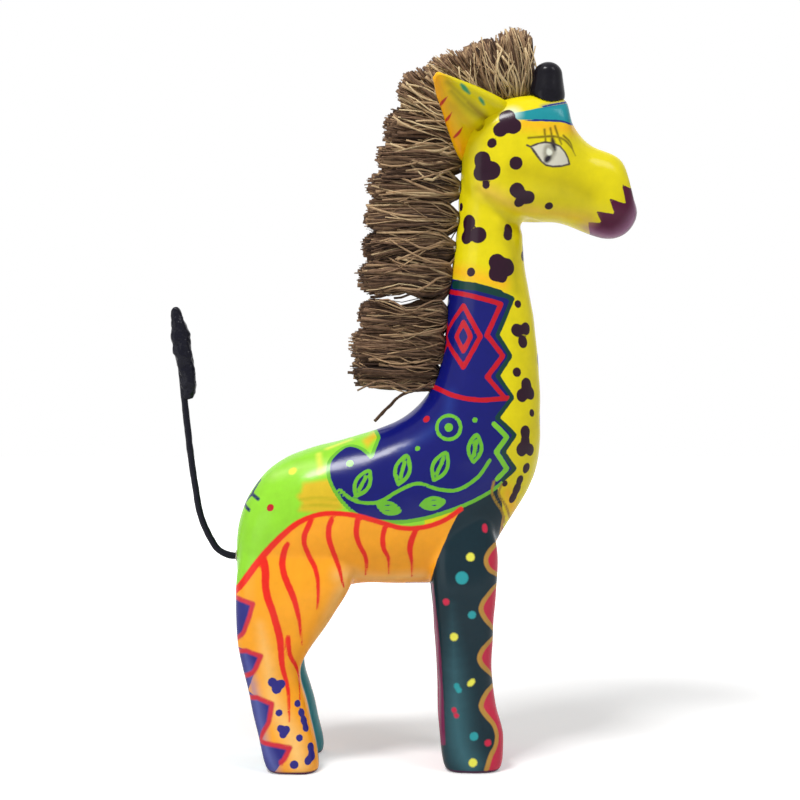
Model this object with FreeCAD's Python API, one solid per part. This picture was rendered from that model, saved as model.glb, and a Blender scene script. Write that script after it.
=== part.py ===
import FreeCAD, Part
import math
import os

# A standing giraffe, carved from one block of light wood and painted. It faces +X, its
# right side is at -Y and +Z is up. The origin is on the ground under the middle of the
# whole figure. Its ears and horns are carved apart and pegged into the head, its mane is
# a row of cut fibre tufts glued into drilled holes, and its tail is a bent wire that
# carries a hard tassel. Lengths are millimetres and angles are degrees.

V = FreeCAD.Vector

# Trunk and legs
leg_height = 70.8  # ground to belly
rump_x = -66.5
torso_length = 120.5  # rump to chest
leg_track = 27.0  # between the middles of a left and a right leg
hind_leg_at = 0.19  # middle of a hind foot, as a share of the torso's length
fore_leg_at = 0.77

# Neck and head
neck_foot_height = 107.2  # above the belly, where the neck leaves the withers
neck_rise = 36.0  # from there to the throat
chest_to_neck = 20.0  # how far the neck's middle stands behind the chest
head_length = 70.3
head_back = 11.5  # how far the head reaches behind the neck's middle

# Horns
horn_radius = 6.4
horn_tip_radius = 5.3
horn_height = 12.6  # above the crown, at its middle
horn_root = 14.0  # length that is coped away to fit the skull
horn_spacing = 13.6
horn_at = 0.49  # share of the head's length
horn_lean = 2.0

# Ears
ear_length = 31.0
ear_rim = 6.0
ear_scoop_stop = 0.86  # share of the ear's length that the scoop runs to

# Pegs and their holes
peg_radius = 2.2
peg_length = 7.0
peg_gap = 0.05  # all round, for glue

# Mane
tuft_hole_radius = 2.3
tuft_hole_depth = 6.0
tuft_gap = 0.05
tuft_stem = 1.1  # how far a tuft stays round outside its hole
tuft_thickness = 15.0  # across the mane, at the cut end
bead_radius = 3.5  # hardened glue round each tuft
bead_height = 0.9

# Loose stalk in the lowest tuft
stalk_radius = 0.65
stalk_hole_depth = 4.0
stalk_at = -0.836  # share of the neck's rise, from the neck's foot down the withers

# Tail
wire_radius = 1.4
wire_hole_depth = 8.0
wire_gap = 0.05
tail_height = 10.9  # above the belly
tail_bead_radius = 2.6
tail_bead_height = 1.1
tassel_length = 37.2
tassel_start = 62.6  # above the hole's mouth
tassel_core = 23.0  # length of the wire's end that the tassel hides

neck_x = rump_x + torso_length - chest_to_neck
neck_foot_z = leg_height + neck_foot_height
throat_z = neck_foot_z + neck_rise
head_x = neck_x - head_back

# Each ring of the trunk: the share of the torso's length and the height over the belly
# of its top, then of its foot, then its half width.
trunk_rings = [
    (0.000, 21.0, 0.000, 5.0, 6.0),
    (0.012, 29.0, 0.012, -3.0, 13.0),
    (0.05, 38.6, 0.05, -6.0, 18.2),
    (0.12, 47.6, 0.12, -6.0, 21.0),
    (0.25, 54.6, 0.25, -4.0, 22.3),
    (0.40, 59.4, 0.40, 0.0, 22.5),
    (0.52, 64.6, 0.56, 0.0, 22.5),
    (0.58, 69.4, 0.69, 0.8, 22.5),
    (0.62, 74.4, 0.80, 6.0, 22.3),
    (0.645, 79.6, 0.865, 19.0, 21.8),
    (0.662, 84.6, 0.922, 30.0, 21.0),
    (0.678, 92.0, 0.985, 45.0, 19.4),
    (0.685, 99.5, 1.000, 61.0, 17.4),
]

# Each ring of the neck: the distance from the neck's middle and the share of the neck's
# rise of its back, then of its front, then its half width.
neck_rings = [
    (-17.4, 0.00, 19.9, -0.78, 15.8),
    (-16.2, 0.33, 17.2, 0.00, 14.0),
    (-14.2, 0.75, 13.8, 0.56, 12.8),
    (-12.7, 1.17, 12.7, 1.00, 12.6),
    (-11.7, 1.56, 12.0, 1.39, 13.0),
    (-8.0, 1.92, 9.0, 1.80, 10.0),
]

# Each ring of the head: the share of the head's length and the height over the throat
# of its top, then of its foot, then its half width and how square it is.
head_rings = [
    (0.000, 28.0, 0.000, 20.0, 3.5, 2.3),
    (0.012, 34.5, 0.012, 12.0, 9.0, 2.3),
    (0.045, 40.0, 0.040, 6.5, 12.8, 2.4),
    (0.12, 45.8, 0.12, 0.5, 15.6, 2.6),
    (0.24, 49.5, 0.24, -1.5, 17.0, 2.8),
    (0.38, 51.0, 0.38, 1.0, 17.4, 3.0),
    (0.50, 51.0, 0.49, 1.4, 17.0, 3.0),
    (0.585, 49.2, 0.545, 1.2, 16.0, 2.9),
    (0.612, 42.6, 0.60, 0.2, 14.8, 2.7),
    (0.66, 36.2, 0.655, -1.3, 13.8, 2.6),
    (0.74, 31.4, 0.74, -4.0, 12.6, 2.5),
    (0.83, 28.8, 0.85, -5.4, 11.8, 2.5),
    (0.90, 26.0, 0.938, -3.4, 10.2, 2.4),
    (0.935, 21.2, 0.980, 0.2, 7.8, 2.3),
    (0.956, 14.5, 0.998, 3.2, 4.8, 2.2),
    (0.986, 9.6, 1.004, 5.0, 2.0, 2.0),
]

# Each ring of a leg: the share of the leg's height, the distances from the foot's middle
# to its back and front, and from the leg's own mid plane inwards and outwards.
hind_leg_rings = [
    (0.00, -9.8, 9.9, 8.2, 10.2),
    (0.04, -11.3, 10.3, 8.8, 10.7),
    (0.15, -12.9, 9.1, 8.6, 10.2),
    (0.30, -15.4, 6.6, 8.5, 9.2),
    (0.43, -17.5, 4.2, 8.5, 8.3),
    (0.56, -19.9, 2.8, 8.8, 8.5),
    (0.70, -21.8, 8.5, 9.3, 8.8),
    (0.82, -22.4, 14.3, 9.8, 9.2),
    (0.93, -22.5, 19.4, 10.2, 9.4),
    (1.07, -22.2, 23.8, 10.4, 8.6),
    (1.26, -19.0, 19.0, 9.0, 5.6),
]
fore_leg_rings = [
    (0.00, -10.4, 10.5, 8.4, 8.4),
    (0.03, -11.4, 11.5, 9.0, 8.8),
    (0.13, -12.3, 11.8, 8.8, 8.7),
    (0.23, -12.8, 11.6, 8.6, 8.5),
    (0.33, -13.0, 9.6, 8.5, 8.4),
    (0.44, -13.1, 8.3, 8.5, 8.3),
    (0.60, -13.7, 7.6, 8.6, 8.4),
    (0.80, -14.8, 8.4, 9.2, 8.8),
    (1.00, -16.0, 9.4, 9.8, 9.0),
    (1.20, -16.2, 9.8, 10.2, 8.4),
    (1.42, -13.0, 6.0, 9.6, 5.6),
    (1.62, -8.0, 2.0, 7.6, 1.8),
]
trunk_squareness = 2.15
neck_squareness = 2.05
leg_squareness = 2.6

# Each ring of an ear: the share of its length, its width, its thickness and how far its
# middle stands off the ear's axis, towards the upper rim.
ear_rings = [
    (-0.30, 27.0, 12.0, 0.0),
    (0.00, 28.5, 11.0, 0.0),
    (0.25, 24.0, 9.0, 0.2),
    (0.50, 18.0, 7.4, 0.4),
    (0.75, 11.0, 5.8, 0.4),
    (0.92, 6.0, 4.6, 0.2),
    (1.00, 2.4, 2.4, 0.0),
]
ear_foot = V(7.6, -13.0, 37.0)  # from the back of the head, at the throat's height
ear_axis = V(-18.0, -18.0, 15.5)
ear_rise = V(18.0, 1.5, 22.0)  # from the lower rim to the upper rim, at the foot

# Each tuft: where its drill line starts, its direction up from +X, its length outside the
# hole and its half height near the root and at the cut end. A neck tuft starts at a share
# of the neck's rise, and a crest tuft at a point over the back of the head.
neck_tufts = [
    (-0.68, 178.0, 33.2, 4.9, 5.0),
    (-0.36, 178.5, 35.2, 5.3, 5.3),
    (-0.03, 179.5, 35.0, 5.2, 5.2),
    (0.38, 177.5, 36.3, 5.4, 5.6),
    (0.71, 177.5, 36.3, 5.4, 5.6),
    (1.045, 177.5, 36.4, 5.5, 5.8),
    (1.385, 177.5, 35.4, 5.2, 5.4),
    (1.68, 177.5, 33.4, 4.4, 4.7),
]
crest_tufts = [
    (7.7, 32.1, 168.5, 30.0, 3.4, 6.9),
    (8.0, 37.4, 151.0, 29.2, 3.0, 7.4),
    (11.7, 40.9, 132.0, 28.0, 3.1, 7.9),
    (16.9, 42.2, 111.0, 26.0, 3.5, 8.5),
    (23.6, 42.6, 93.0, 27.2, 4.7, 7.2),
]
tuft_start = 8.0  # how far in front of the neck's back a neck tuft's drill line starts

# Each ring of a tuft outside its hole: the share of its length, how much of the way its
# half height has come from the root's to the end's, how much of that height it has, its
# share of the thickness at the end and how square it is.
tuft_rings = [
    (0.10, 0.10, 0.97, 0.56, 2.3),
    (0.32, 0.32, 1.00, 0.85, 2.8),
    (0.66, 0.66, 1.00, 0.95, 3.1),
    (1.00, 1.00, 1.00, 1.00, 3.2),
]

# The tail wire's route: distances behind the hole's mouth and above it.
tail_route = [(7.4, 0.0), (15.4, 14.6), (19.3, 40.0)]
tail_top = (21.8, 62.6)
wire_end_lean = 5.5  # degrees back from upright
tassel_lean = 8.2
tassel_offset = 1.9  # how far its foot stands in front of the wire
# Each ring of the tassel: the share of its length, its half width, its half thickness and
# how far its middle stands in front of its own line.
tassel_rings = [
    (0.00, 1.7, 1.7, -0.2),
    (0.03, 2.2, 2.2, 0.0),
    (0.12, 2.9, 2.8, 0.4),
    (0.22, 3.2, 2.9, 0.7),
    (0.34, 3.2, 2.8, 0.7),
    (0.50, 3.6, 2.9, 0.2),
    (0.66, 3.8, 2.9, 0.2),
    (0.80, 3.2, 2.6, 0.1),
    (0.90, 2.2, 2.1, -0.2),
    (0.97, 1.8, 1.7, 0.0),
    (1.00, 0.9, 0.9, 0.0),
]
# The stalk's route: distances behind its hole's mouth and above it.
stalk_route = [(10.0, 0.0)]
stalk_end = (22.2, -12.4)


def power(value, exponent):
    """A signed power, which turns a circle into a rounder or squarer ring."""
    return math.copysign(abs(value) ** exponent, value)


def ring(centre, up, side, squareness=2.0, count=16):
    """Points of a closed curve round centre that reaches up and side, and as far back."""
    points = []
    for step in range(count):
        angle = 2 * math.pi * step / count
        along_up = power(math.cos(angle), 2 / squareness)
        along_side = power(math.sin(angle), 2 / squareness)
        points.append(centre + up * along_up + side * along_side)
    return points


def through(points, shares, closed):
    """A smooth curve that passes each point at its own share of the way."""
    curve = Part.BSplineCurve()
    curve.interpolate(Points=points, PeriodicFlag=closed, Parameters=shares)
    return curve


def loft(rings):
    """One smooth solid through rings of points, closed by a flat face at each end."""
    reach = [0.0]
    for here, there in zip(rings, rings[1:]):
        gap = sum((b - a).Length for a, b in zip(here, there)) / len(here)
        reach.append(reach[-1] + gap ** 0.7)
    along = [distance / reach[-1] for distance in reach]
    around = [step / len(rings[0]) for step in range(len(rings[0]) + 1)]
    lines = [through(list(line), along, False) for line in zip(*rings)]
    hoops = [through(list(hoop), around, True) for hoop in zip(*(x.getPoles() for x in lines))]
    skin = Part.BSplineSurface()
    skin.buildFromPolesMultsKnots(
        [hoop.getPoles() for hoop in hoops],
        lines[0].getMultiplicities(),
        hoops[0].getMultiplicities(),
        lines[0].getKnots(),
        hoops[0].getKnots(),
        False,
        True,
        lines[0].Degree,
        hoops[0].Degree,
    )
    faces = [skin.toShape()]
    for end in (0.0, 1.0):
        faces.append(Part.Face(Part.Wire(skin.uIso(end).toShape())))
    shell = Part.makeShell(faces)
    shell.sewShape()
    solid = Part.makeSolid(shell)
    if solid.Volume < 0:
        solid.reverse()
    return solid


def upright_ring(top, foot, half_width, squareness):
    """A ring between two points of the figure's mid plane."""
    return ring((top + foot) / 2, (top - foot) / 2, V(0, half_width, 0), squareness)


def trunk():
    """The barrel of the body, from the rump to the foot of the neck, and the neck."""
    rings = []
    for top_share, top_height, foot_share, foot_height, half_width in trunk_rings:
        top = V(rump_x + top_share * torso_length, 0, leg_height + top_height)
        foot = V(rump_x + foot_share * torso_length, 0, leg_height + foot_height)
        rings.append(upright_ring(top, foot, half_width, trunk_squareness))
    for back_x, back_share, front_x, front_share, half_width in neck_rings:
        back = V(neck_x + back_x, 0, neck_foot_z + back_share * neck_rise)
        front = V(neck_x + front_x, 0, neck_foot_z + front_share * neck_rise)
        rings.append(upright_ring(back, front, half_width, neck_squareness))
    return loft(rings)


def head():
    rings = []
    for top_share, top_height, foot_share, foot_height, half_width, squareness in head_rings:
        top = V(head_x + top_share * head_length, 0, throat_z + top_height)
        foot = V(head_x + foot_share * head_length, 0, throat_z + foot_height)
        rings.append(upright_ring(top, foot, half_width, squareness))
    return loft(rings)


def leg(table, share, side):
    """One leg, standing on the ground. side is -1 for the right and 1 for the left."""
    foot_x = rump_x + share * torso_length
    middle_y = side * leg_track / 2
    rings = []
    for height_share, back, front, inwards, outwards in table:
        centre = V(
            foot_x + (back + front) / 2,
            middle_y + side * (outwards - inwards) / 2,
            height_share * leg_height,
        )
        along = V((front - back) / 2, 0, 0)
        across = V(0, (inwards + outwards) / 2, 0)
        rings.append(ring(centre, along, across, leg_squareness))
    return loft(rings)


def carved_block():
    """The whole figure as it leaves the knife, before its holes are drilled."""
    shape = trunk().fuse(head())
    for side in (-1, 1):
        shape = shape.fuse(leg(hind_leg_rings, hind_leg_at, side))
        shape = shape.fuse(leg(fore_leg_rings, fore_leg_at, side))
    return shape


def mouth_on(block, start, direction):
    """Where a line from inside the block first leaves it."""
    far = start + direction * 60
    inside = Part.makeLine(start, far).common(block)
    return min(
        (vertex.Point for edge in inside.Edges for vertex in edge.Vertexes
         if (vertex.Point - start).Length > 0.01),
        key=lambda point: (point - start).Length,
    )


def rod_along(points, radius):
    """A round rod along straight runs joined by arcs that touch both runs."""
    edges = []
    start = points[0]
    for before, corner, after in zip(points, points[1:], points[2:]):
        into = (corner - before).normalize()
        out = (after - corner).normalize()
        turn = into.getAngle(out)
        reach = 0.45 * min((corner - before).Length, (after - corner).Length)
        arc_start = corner - into * reach
        arc_end = corner + out * reach
        bulge = (out - into).normalize() * reach * math.tan(turn / 4)
        arc_middle = (arc_start + arc_end) / 2 - bulge
        edges.append(Part.LineSegment(start, arc_start).toShape())
        edges.append(Part.Arc(arc_start, arc_middle, arc_end).toShape())
        start = arc_end
    edges.append(Part.LineSegment(start, points[-1]).toShape())
    path = Part.Wire(edges)
    heading = points[1] - points[0]
    profile = Part.Wire(Part.makeCircle(radius, points[0], heading))
    return path.makePipeShell([profile], True, False)


def bead_round(block, core, mouth, direction, radius, height):
    """Hardened glue in the corner between a piece and the surface that it enters."""
    collar = Part.makeCone(radius, radius * 0.9, height + 2, mouth - direction * 2, direction)
    return collar.cut(block).cut(core)


def solids_of(shape):
    """The solids of a shape with more than a crumb of volume, the largest first."""
    kept = [solid for solid in shape.Solids if solid.Volume > 0.2]
    return sorted(kept, key=lambda solid: -solid.Volume)


def horn(block, side):
    """One horn with its coped seat and peg, and the hole that the peg fills."""
    foot_x = head_x + horn_at * head_length
    foot_y = side * horn_spacing / 2
    crown = mouth_on(block, V(foot_x, 0, throat_z + peg_length), V(0, 0, 1))
    lean = math.radians(horn_lean)
    axis = V(math.sin(lean), 0, math.cos(lean))
    foot = V(foot_x, foot_y, crown.z)
    shoulder = horn_height - horn_tip_radius
    profile = [
        V(0, 0, -horn_root),
        V(horn_radius, 0, -horn_root),
        V(horn_radius, 0, 0),
        V(horn_tip_radius, 0, shoulder),
    ]
    diagonal = horn_tip_radius * math.sqrt(0.5)
    dome = Part.Arc(
        profile[3],
        V(diagonal, 0, shoulder + diagonal),
        V(0, 0, horn_height),
    )
    edges = [Part.LineSegment(a, b).toShape() for a, b in zip(profile, profile[1:])]
    edges.append(dome.toShape())
    edges.append(Part.LineSegment(V(0, 0, horn_height), profile[0]).toShape())
    cone = Part.Face(Part.Wire(edges)).revolve(V(0, 0, 0), V(0, 0, 1), 360)
    cone.rotate(V(0, 0, 0), V(0, 1, 0), horn_lean)
    cone.translate(foot)
    cone = solids_of(cone.cut(block))[0]
    seat = mouth_on(block, foot - axis * horn_root, axis)
    peg = Part.makeCylinder(peg_radius, peg_length + horn_height / 2, seat - axis * peg_length, axis)
    hole = Part.makeCylinder(
        peg_radius + peg_gap, peg_length + horn_height / 4, seat - axis * peg_length, axis
    )
    return cone.fuse(peg).removeSplitter(), hole


def ear(block, side):
    """One ear: a leaf with a scoop under its upper rim, its peg and the peg's hole."""
    foot = V(head_x, 0, throat_z) + ear_foot
    axis = V(ear_axis).normalize()
    rise = V(ear_rise)
    rise = (rise - axis * rise.dot(axis)).normalize()
    face = axis.cross(rise)
    if face.y > 0:
        face = face * -1
    leaf, scoop = [], []
    for share, width, thickness, offset in ear_rings:
        centre = foot + axis * (share * ear_length) + rise * offset
        leaf.append(ring(centre, rise * (width / 2), face * (thickness / 2)))
        if 0 <= share <= ear_scoop_stop:
            room = max(width - ear_rim, 3.0)
            middle = centre + face * (thickness * 0.52) + rise * (ear_rim * 0.1)
            scoop.append(ring(middle, rise * (room * 0.42), face * (thickness * 0.5)))
    end = foot + axis * (ear_scoop_stop * ear_length)
    scoop.append(ring(end + face * (ear_rim * 0.42), rise * 0.9, face * 0.9))
    before = foot - axis * (ear_length * 0.3) + face * (ear_rim * 0.9)
    scoop.insert(0, ring(before, rise * (ear_rim * 0.6), face * (ear_rim * 0.5)))
    shape = loft(leaf).cut(loft(scoop))
    shape = solids_of(shape.cut(block))[0]
    seat = foot + axis * (ear_length * 0.12) - face * 2.0
    peg_start = mouth_on(block, seat - axis * (peg_length * 1.4), axis) - axis * peg_length
    peg = Part.makeCylinder(peg_radius, peg_length + ear_length * 0.08, peg_start, axis)
    hole = Part.makeCylinder(peg_radius + peg_gap, peg_length + 1.0, peg_start, axis)
    made = shape.fuse(peg).removeSplitter()
    if side > 0:
        made = made.mirror(V(0, 0, 0), V(0, 1, 0))
        hole = hole.mirror(V(0, 0, 0), V(0, 1, 0))
    return made, hole


def tuft(block, start, angle, length, root_height, end_height):
    """One cut bundle of fibre, its hole and the glue round its root."""
    turn = math.radians(angle)
    direction = V(math.cos(turn), 0, math.sin(turn))
    up = V(direction.z, 0, -direction.x)
    mouth = mouth_on(block, start, direction)
    hole = Part.makeCylinder(
        tuft_hole_radius, tuft_hole_depth + 3, mouth - direction * tuft_hole_depth, direction
    )
    root_radius = tuft_hole_radius - tuft_gap
    root_length = tuft_hole_depth - tuft_gap
    root_start = mouth - direction * root_length
    root = Part.makeCylinder(root_radius, root_length + tuft_stem * 1.5, root_start, direction)
    wide = V(0, tuft_thickness / 2, 0)
    rings = []
    for reach, radius in ((-1.4 * tuft_stem, 0.4 * root_radius), (tuft_stem, 1.25 * root_radius)):
        rings.append(ring(mouth + direction * reach, up * radius, V(0, radius, 0)))
    for share, progress, fullness, thickness_share, squareness in tuft_rings:
        half_height = fullness * (root_height + progress * (end_height - root_height))
        middle = mouth + direction * (share * length)
        rings.append(ring(middle, up * half_height, wide * thickness_share, squareness))
    bundle = root.fuse(solids_of(loft(rings).cut(block))[0])
    bead = bead_round(block, bundle, mouth, direction, bead_radius, bead_height)
    return solids_of(bundle)[0], hole, solids_of(bead)


def mane(block):
    """Every tuft in order from the withers to the forelock."""
    lines = []
    for share, angle, length, root_height, end_height in neck_tufts:
        start = V(neck_x - tuft_start, 0, neck_foot_z + share * neck_rise)
        lines.append((start, angle, length, root_height, end_height))
    for back, height, angle, length, root_height, end_height in crest_tufts:
        start = V(head_x + back, 0, throat_z + height)
        lines.append((start, angle, length, root_height, end_height))
    return [tuft(block, *line) for line in lines]


def tail(block):
    """The wire with its hole and glue bead, and the tassel on its end."""
    start = V(rump_x + wire_hole_depth + 4, 0, leg_height + tail_height)
    mouth = mouth_on(block, start, V(-1, 0, 0))
    back = V(-1, 0, 0)
    points = [mouth - back * wire_hole_depth]
    for behind, above in tail_route:
        points.append(mouth + V(-behind, 0, above))
    top = mouth + V(-tail_top[0], 0, tail_top[1])
    points.append(top)
    wire_lean = math.radians(wire_end_lean)
    points.append(top + V(-math.sin(wire_lean), 0, math.cos(wire_lean)) * tassel_core)
    wire = rod_along(points, wire_radius)
    hole = Part.makeCylinder(
        wire_radius + wire_gap, wire_hole_depth + 2, mouth - back * wire_hole_depth, back
    )
    bead = bead_round(block, wire, mouth, back, tail_bead_radius, tail_bead_height)
    lean = math.radians(tassel_lean)
    up = V(-math.sin(lean), 0, math.cos(lean))
    front = V(math.cos(lean), 0, math.sin(lean))
    foot = V(top.x + tassel_offset, 0, mouth.z + tassel_start)
    rings = []
    for share, half_width, half_thickness, offset in tassel_rings:
        centre = foot + up * (share * tassel_length) + front * offset
        rings.append(ring(centre, front * half_width, V(0, half_thickness, 0), 2.3))
    tassel = loft(rings).cut(wire)
    return wire, hole, solids_of(bead), solids_of(tassel)[0]


def stalk(block):
    """The stiff stalk that leans out under the lowest tuft, and its hole."""
    start = V(neck_x - tuft_start, 0, neck_foot_z + stalk_at * neck_rise)
    mouth = mouth_on(block, start, V(-1, 0, 0))
    points = [mouth + V(stalk_hole_depth, 0, 0)]
    for behind, above in stalk_route:
        points.append(mouth + V(-behind, 0, above))
    points.append(mouth + V(-stalk_end[0], 0, stalk_end[1]))
    rod = rod_along(points, stalk_radius)
    hole = Part.makeCylinder(
        stalk_radius + wire_gap, stalk_hole_depth + 2, points[0], V(-1, 0, 0)
    )
    return rod, hole


def save(name, shape):
    solids = shape if isinstance(shape, list) else [shape]
    whole = Part.makeCompound(solids) if len(solids) > 1 else solids[0]
    whole.exportStep(os.path.join("parts", name + ".step"))
    volume = sum(solid.Volume for solid in solids)
    print(f"{name}: {len(solids)} solid(s), {volume:.0f} mm3, valid {whole.isValid()}")


def main():
    os.makedirs("parts", exist_ok=True)
    block = carved_block()
    holes, beads = [], []
    for side, hand in ((-1, "right"), (1, "left")):
        made, hole = horn(block, side)
        save("horn_" + hand, made)
        holes.append(hole)
        made, hole = ear(block, side)
        save("ear_" + hand, made)
        holes.append(hole)
    for number, (bundle, hole, bead) in enumerate(mane(block), 1):
        save(f"mane_tuft_{number:02d}", bundle)
        holes.append(hole)
        beads.extend(bead)
    save("mane_glue", beads)
    wire, hole, bead, tassel = tail(block)
    holes.append(hole)
    save("tail_wire", wire)
    save("tail_glue", bead)
    save("tail_tassel", tassel)
    rod, hole = stalk(block)
    holes.append(hole)
    save("loose_stalk", rod)
    for hole in holes:
        block = block.cut(hole)
    save("carved_body", solids_of(block)[0])


main()
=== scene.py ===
import math
from contextlib import contextmanager

import bmesh
import bpy
import numpy as np
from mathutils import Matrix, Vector, noise
from mathutils.bvhtree import BVHTree


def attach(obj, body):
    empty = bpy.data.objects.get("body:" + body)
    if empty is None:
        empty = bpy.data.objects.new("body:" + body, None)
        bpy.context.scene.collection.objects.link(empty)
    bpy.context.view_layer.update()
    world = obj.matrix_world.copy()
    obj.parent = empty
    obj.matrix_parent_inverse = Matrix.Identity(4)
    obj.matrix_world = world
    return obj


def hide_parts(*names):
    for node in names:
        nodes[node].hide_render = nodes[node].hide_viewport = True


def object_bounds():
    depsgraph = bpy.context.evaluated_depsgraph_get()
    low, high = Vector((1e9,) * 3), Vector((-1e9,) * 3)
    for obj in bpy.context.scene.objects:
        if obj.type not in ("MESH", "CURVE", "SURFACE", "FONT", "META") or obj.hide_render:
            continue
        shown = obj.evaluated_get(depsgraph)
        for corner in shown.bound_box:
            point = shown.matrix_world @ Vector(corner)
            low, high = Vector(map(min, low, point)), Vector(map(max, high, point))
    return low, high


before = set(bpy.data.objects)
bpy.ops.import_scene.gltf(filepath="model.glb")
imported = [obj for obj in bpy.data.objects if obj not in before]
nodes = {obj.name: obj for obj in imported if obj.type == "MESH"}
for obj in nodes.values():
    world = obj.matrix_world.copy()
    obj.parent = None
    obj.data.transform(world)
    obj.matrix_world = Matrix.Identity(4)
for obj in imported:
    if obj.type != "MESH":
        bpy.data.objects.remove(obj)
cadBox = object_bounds()
scene = bpy.context.scene
mm = 0.001  # sizes and layouts below are in millimetres, and the studio's in metres
weld = 0.002  # points of the CAD mesh closer than this are made one
tiny = 1e-12  # keeps a division or a logarithm away from zero
fullTurn = 6.28  # in radians, and near enough for how a fibre lies


# sRGB hex to the linear colour that a shader wants
def linear(code):
    parts = [int(code[i:i + 2], 16) / 255 for i in (0, 2, 4)]
    return [c / 12.92 if c <= 0.04045 else ((c + 0.055) / 1.055) ** 2.4 for c in parts] + [1.0]


# Adds a node, sets its properties, and fills or links its inputs
def addNode(tree, kind, inputs=None, **settings):
    node = tree.nodes.new(kind)
    for name, value in settings.items():
        setattr(node, name, value)
    for name, value in (inputs or {}).items():
        if isinstance(value, bpy.types.NodeSocket):
            tree.links.new(value, node.inputs[name])
        else:
            node.inputs[name].default_value = value
    return node


def newMaterial(name):
    material = bpy.data.materials.new(name)
    material.use_nodes = True
    material.node_tree.nodes.clear()
    return material, material.node_tree


# Joins the last shader to the material's output
def closeMaterial(tree, shader):
    addNode(tree, "ShaderNodeOutputMaterial", {"Surface": shader.outputs[0]})


def addObject(name, data):
    thing = bpy.data.objects.new(name, data)
    scene.collection.objects.link(thing)
    return thing


# The mesh of an object with its modifiers, or its bevel, worked out
def workedOut(thing):
    bpy.context.view_layer.update()
    return bpy.data.meshes.new_from_object(thing.evaluated_get(bpy.context.evaluated_depsgraph_get()))


# Opens a mesh for the bmesh operators and writes it back at the end
@contextmanager
def editing(data):
    mesh = bmesh.new()
    mesh.from_mesh(data)
    yield mesh
    mesh.to_mesh(data)
    mesh.free()


def pointsOf(data):
    return np.array([vertex.co for vertex in data.vertices]) / mm


# Keeps one number for each point of a mesh, for its material to read
def writePoints(data, name, values):
    data.attributes.new(name, "FLOAT", "POINT").data.foreach_set("value", values.astype(np.float32))


def finishPiece(piece, material, slot, *replaced):
    piece.data.materials.clear()
    piece.data.materials.append(material)
    piece.data.polygons.foreach_set("use_smooth", [True] * len(piece.data.polygons))
    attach(piece, "root")
    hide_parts(*replaced)
    print(f"{piece.name}: {sum(len(p.vertices) - 2 for p in piece.data.polygons)} triangles")


# An even skin: the piece's shape with its modifiers, remeshed and rubbed smooth
def evenSkin(piece, voxel, rubs):
    remesh = piece.modifiers.new("even skin", "REMESH")
    remesh.mode = "VOXEL"
    remesh.voxel_size = voxel * mm
    whole = workedOut(piece)
    piece.modifiers.clear()
    piece.data = whole
    with editing(piece.data) as mesh:
        for _ in range(rubs):
            bmesh.ops.smooth_vert(mesh, verts=mesh.verts, factor=0.5,
                                  use_axis_x=True, use_axis_y=True, use_axis_z=True)


# A piece of its own that starts from the CAD shape of a node
def skinOver(node, name, voxel, rubs):
    piece = addObject(name, nodes[node].data.copy())
    with editing(piece.data) as mesh:
        bmesh.ops.remove_doubles(mesh, verts=mesh.verts, dist=weld * mm)
    evenSkin(piece, voxel, rubs)
    return piece


# Moves each point along its normal by a soft random amount, but never out of the CAD box.
# The lumps come in rounds, each with its grain, its depth and its seed.
def roughen(piece, lumps):
    for grain, depth, seed in lumps:
        with editing(piece.data) as mesh:
            mesh.normal_update()
            for vertex in mesh.verts:
                spot = vertex.co / (grain * mm) + Vector((seed, 0, 0))
                vertex.co += vertex.normal * (noise.noise(spot) * depth * mm)
                vertex.co = [min(max(value, low), high) for value, low, high in zip(vertex.co, *cadBox)]


# From 0 to 1 with a soft start and a soft end
def ease(value):
    value = np.clip(value, 0, 1)
    return value * value * (3 - 2 * value)


# All paint layouts are drawn flat, as the side looks to an eye this far away, and each is
# then laid on the carved surface along the lines of sight. The left side mirrors the right,
# but as the same hand's second try: its marks drift in long waves.
eyePoint = Vector((-2, -570, 144)) * mm
farAway = 9.0  # distances are not followed beyond this
melt = 2.0  # how readily touches that meet run together, lower for more
strokeStep = 1.2  # the longest straight bit of a laid stroke
inFront = 200.0  # where the eye for the marks on the front stands, along x
secondTry = {"drift": 1.1, "waveUp": 8.0, "waveAlong": 7.0, "phase": 1.0, "growsOver": 6.0}
leafShape = {"fullness": 0.8, "vein": 0.28}  # the outline's power, and the vein's share each way

blueEdge = [(16.0, 193.2), (28.0, 190.4), (38.0, 187.6), (43.0, 184.6), (37.0, 170.0), (42.2, 161.6),
            (37.0, 153.6), (43.0, 145.0), (36.8, 136.8), (44.0, 130.0), (39.2, 123.2), (44.0, 116.4),
            (39.2, 112.0)]
blueFoot = [(39.2, 111.2), (34.0, 107.2), (24.0, 102.0), (10.0, 97.2), (-2.0, 95.2), (-14.8, 96.2),
            (-21.8, 100.0), (-27.2, 106.0), (-30.4, 112.8), (-30.4, 118.8), (-28.0, 122.2),
            (-24.4, 125.0), (-21.2, 125.8), (-17.2, 124.4), (-14.4, 122.0), (-13.5, 121.2),
            (-12.4, 124.0), (-11.4, 126.8), (-10.6, 129.2), (-12.0, 132.0)]
haunchTop = [(-72.0, 64.0), (-66.0, 69.6), (-58.5, 79.6), (-51.6, 87.3), (-44.3, 93.8), (-37.8, 97.2),
             (-31.0, 98.6), (-21.8, 98.1), (-14.9, 96.5), (-5.7, 93.8), (0.0, 92.6), (8.0, 93.2),
             (16.0, 96.0), (22.4, 100.4)]
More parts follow.
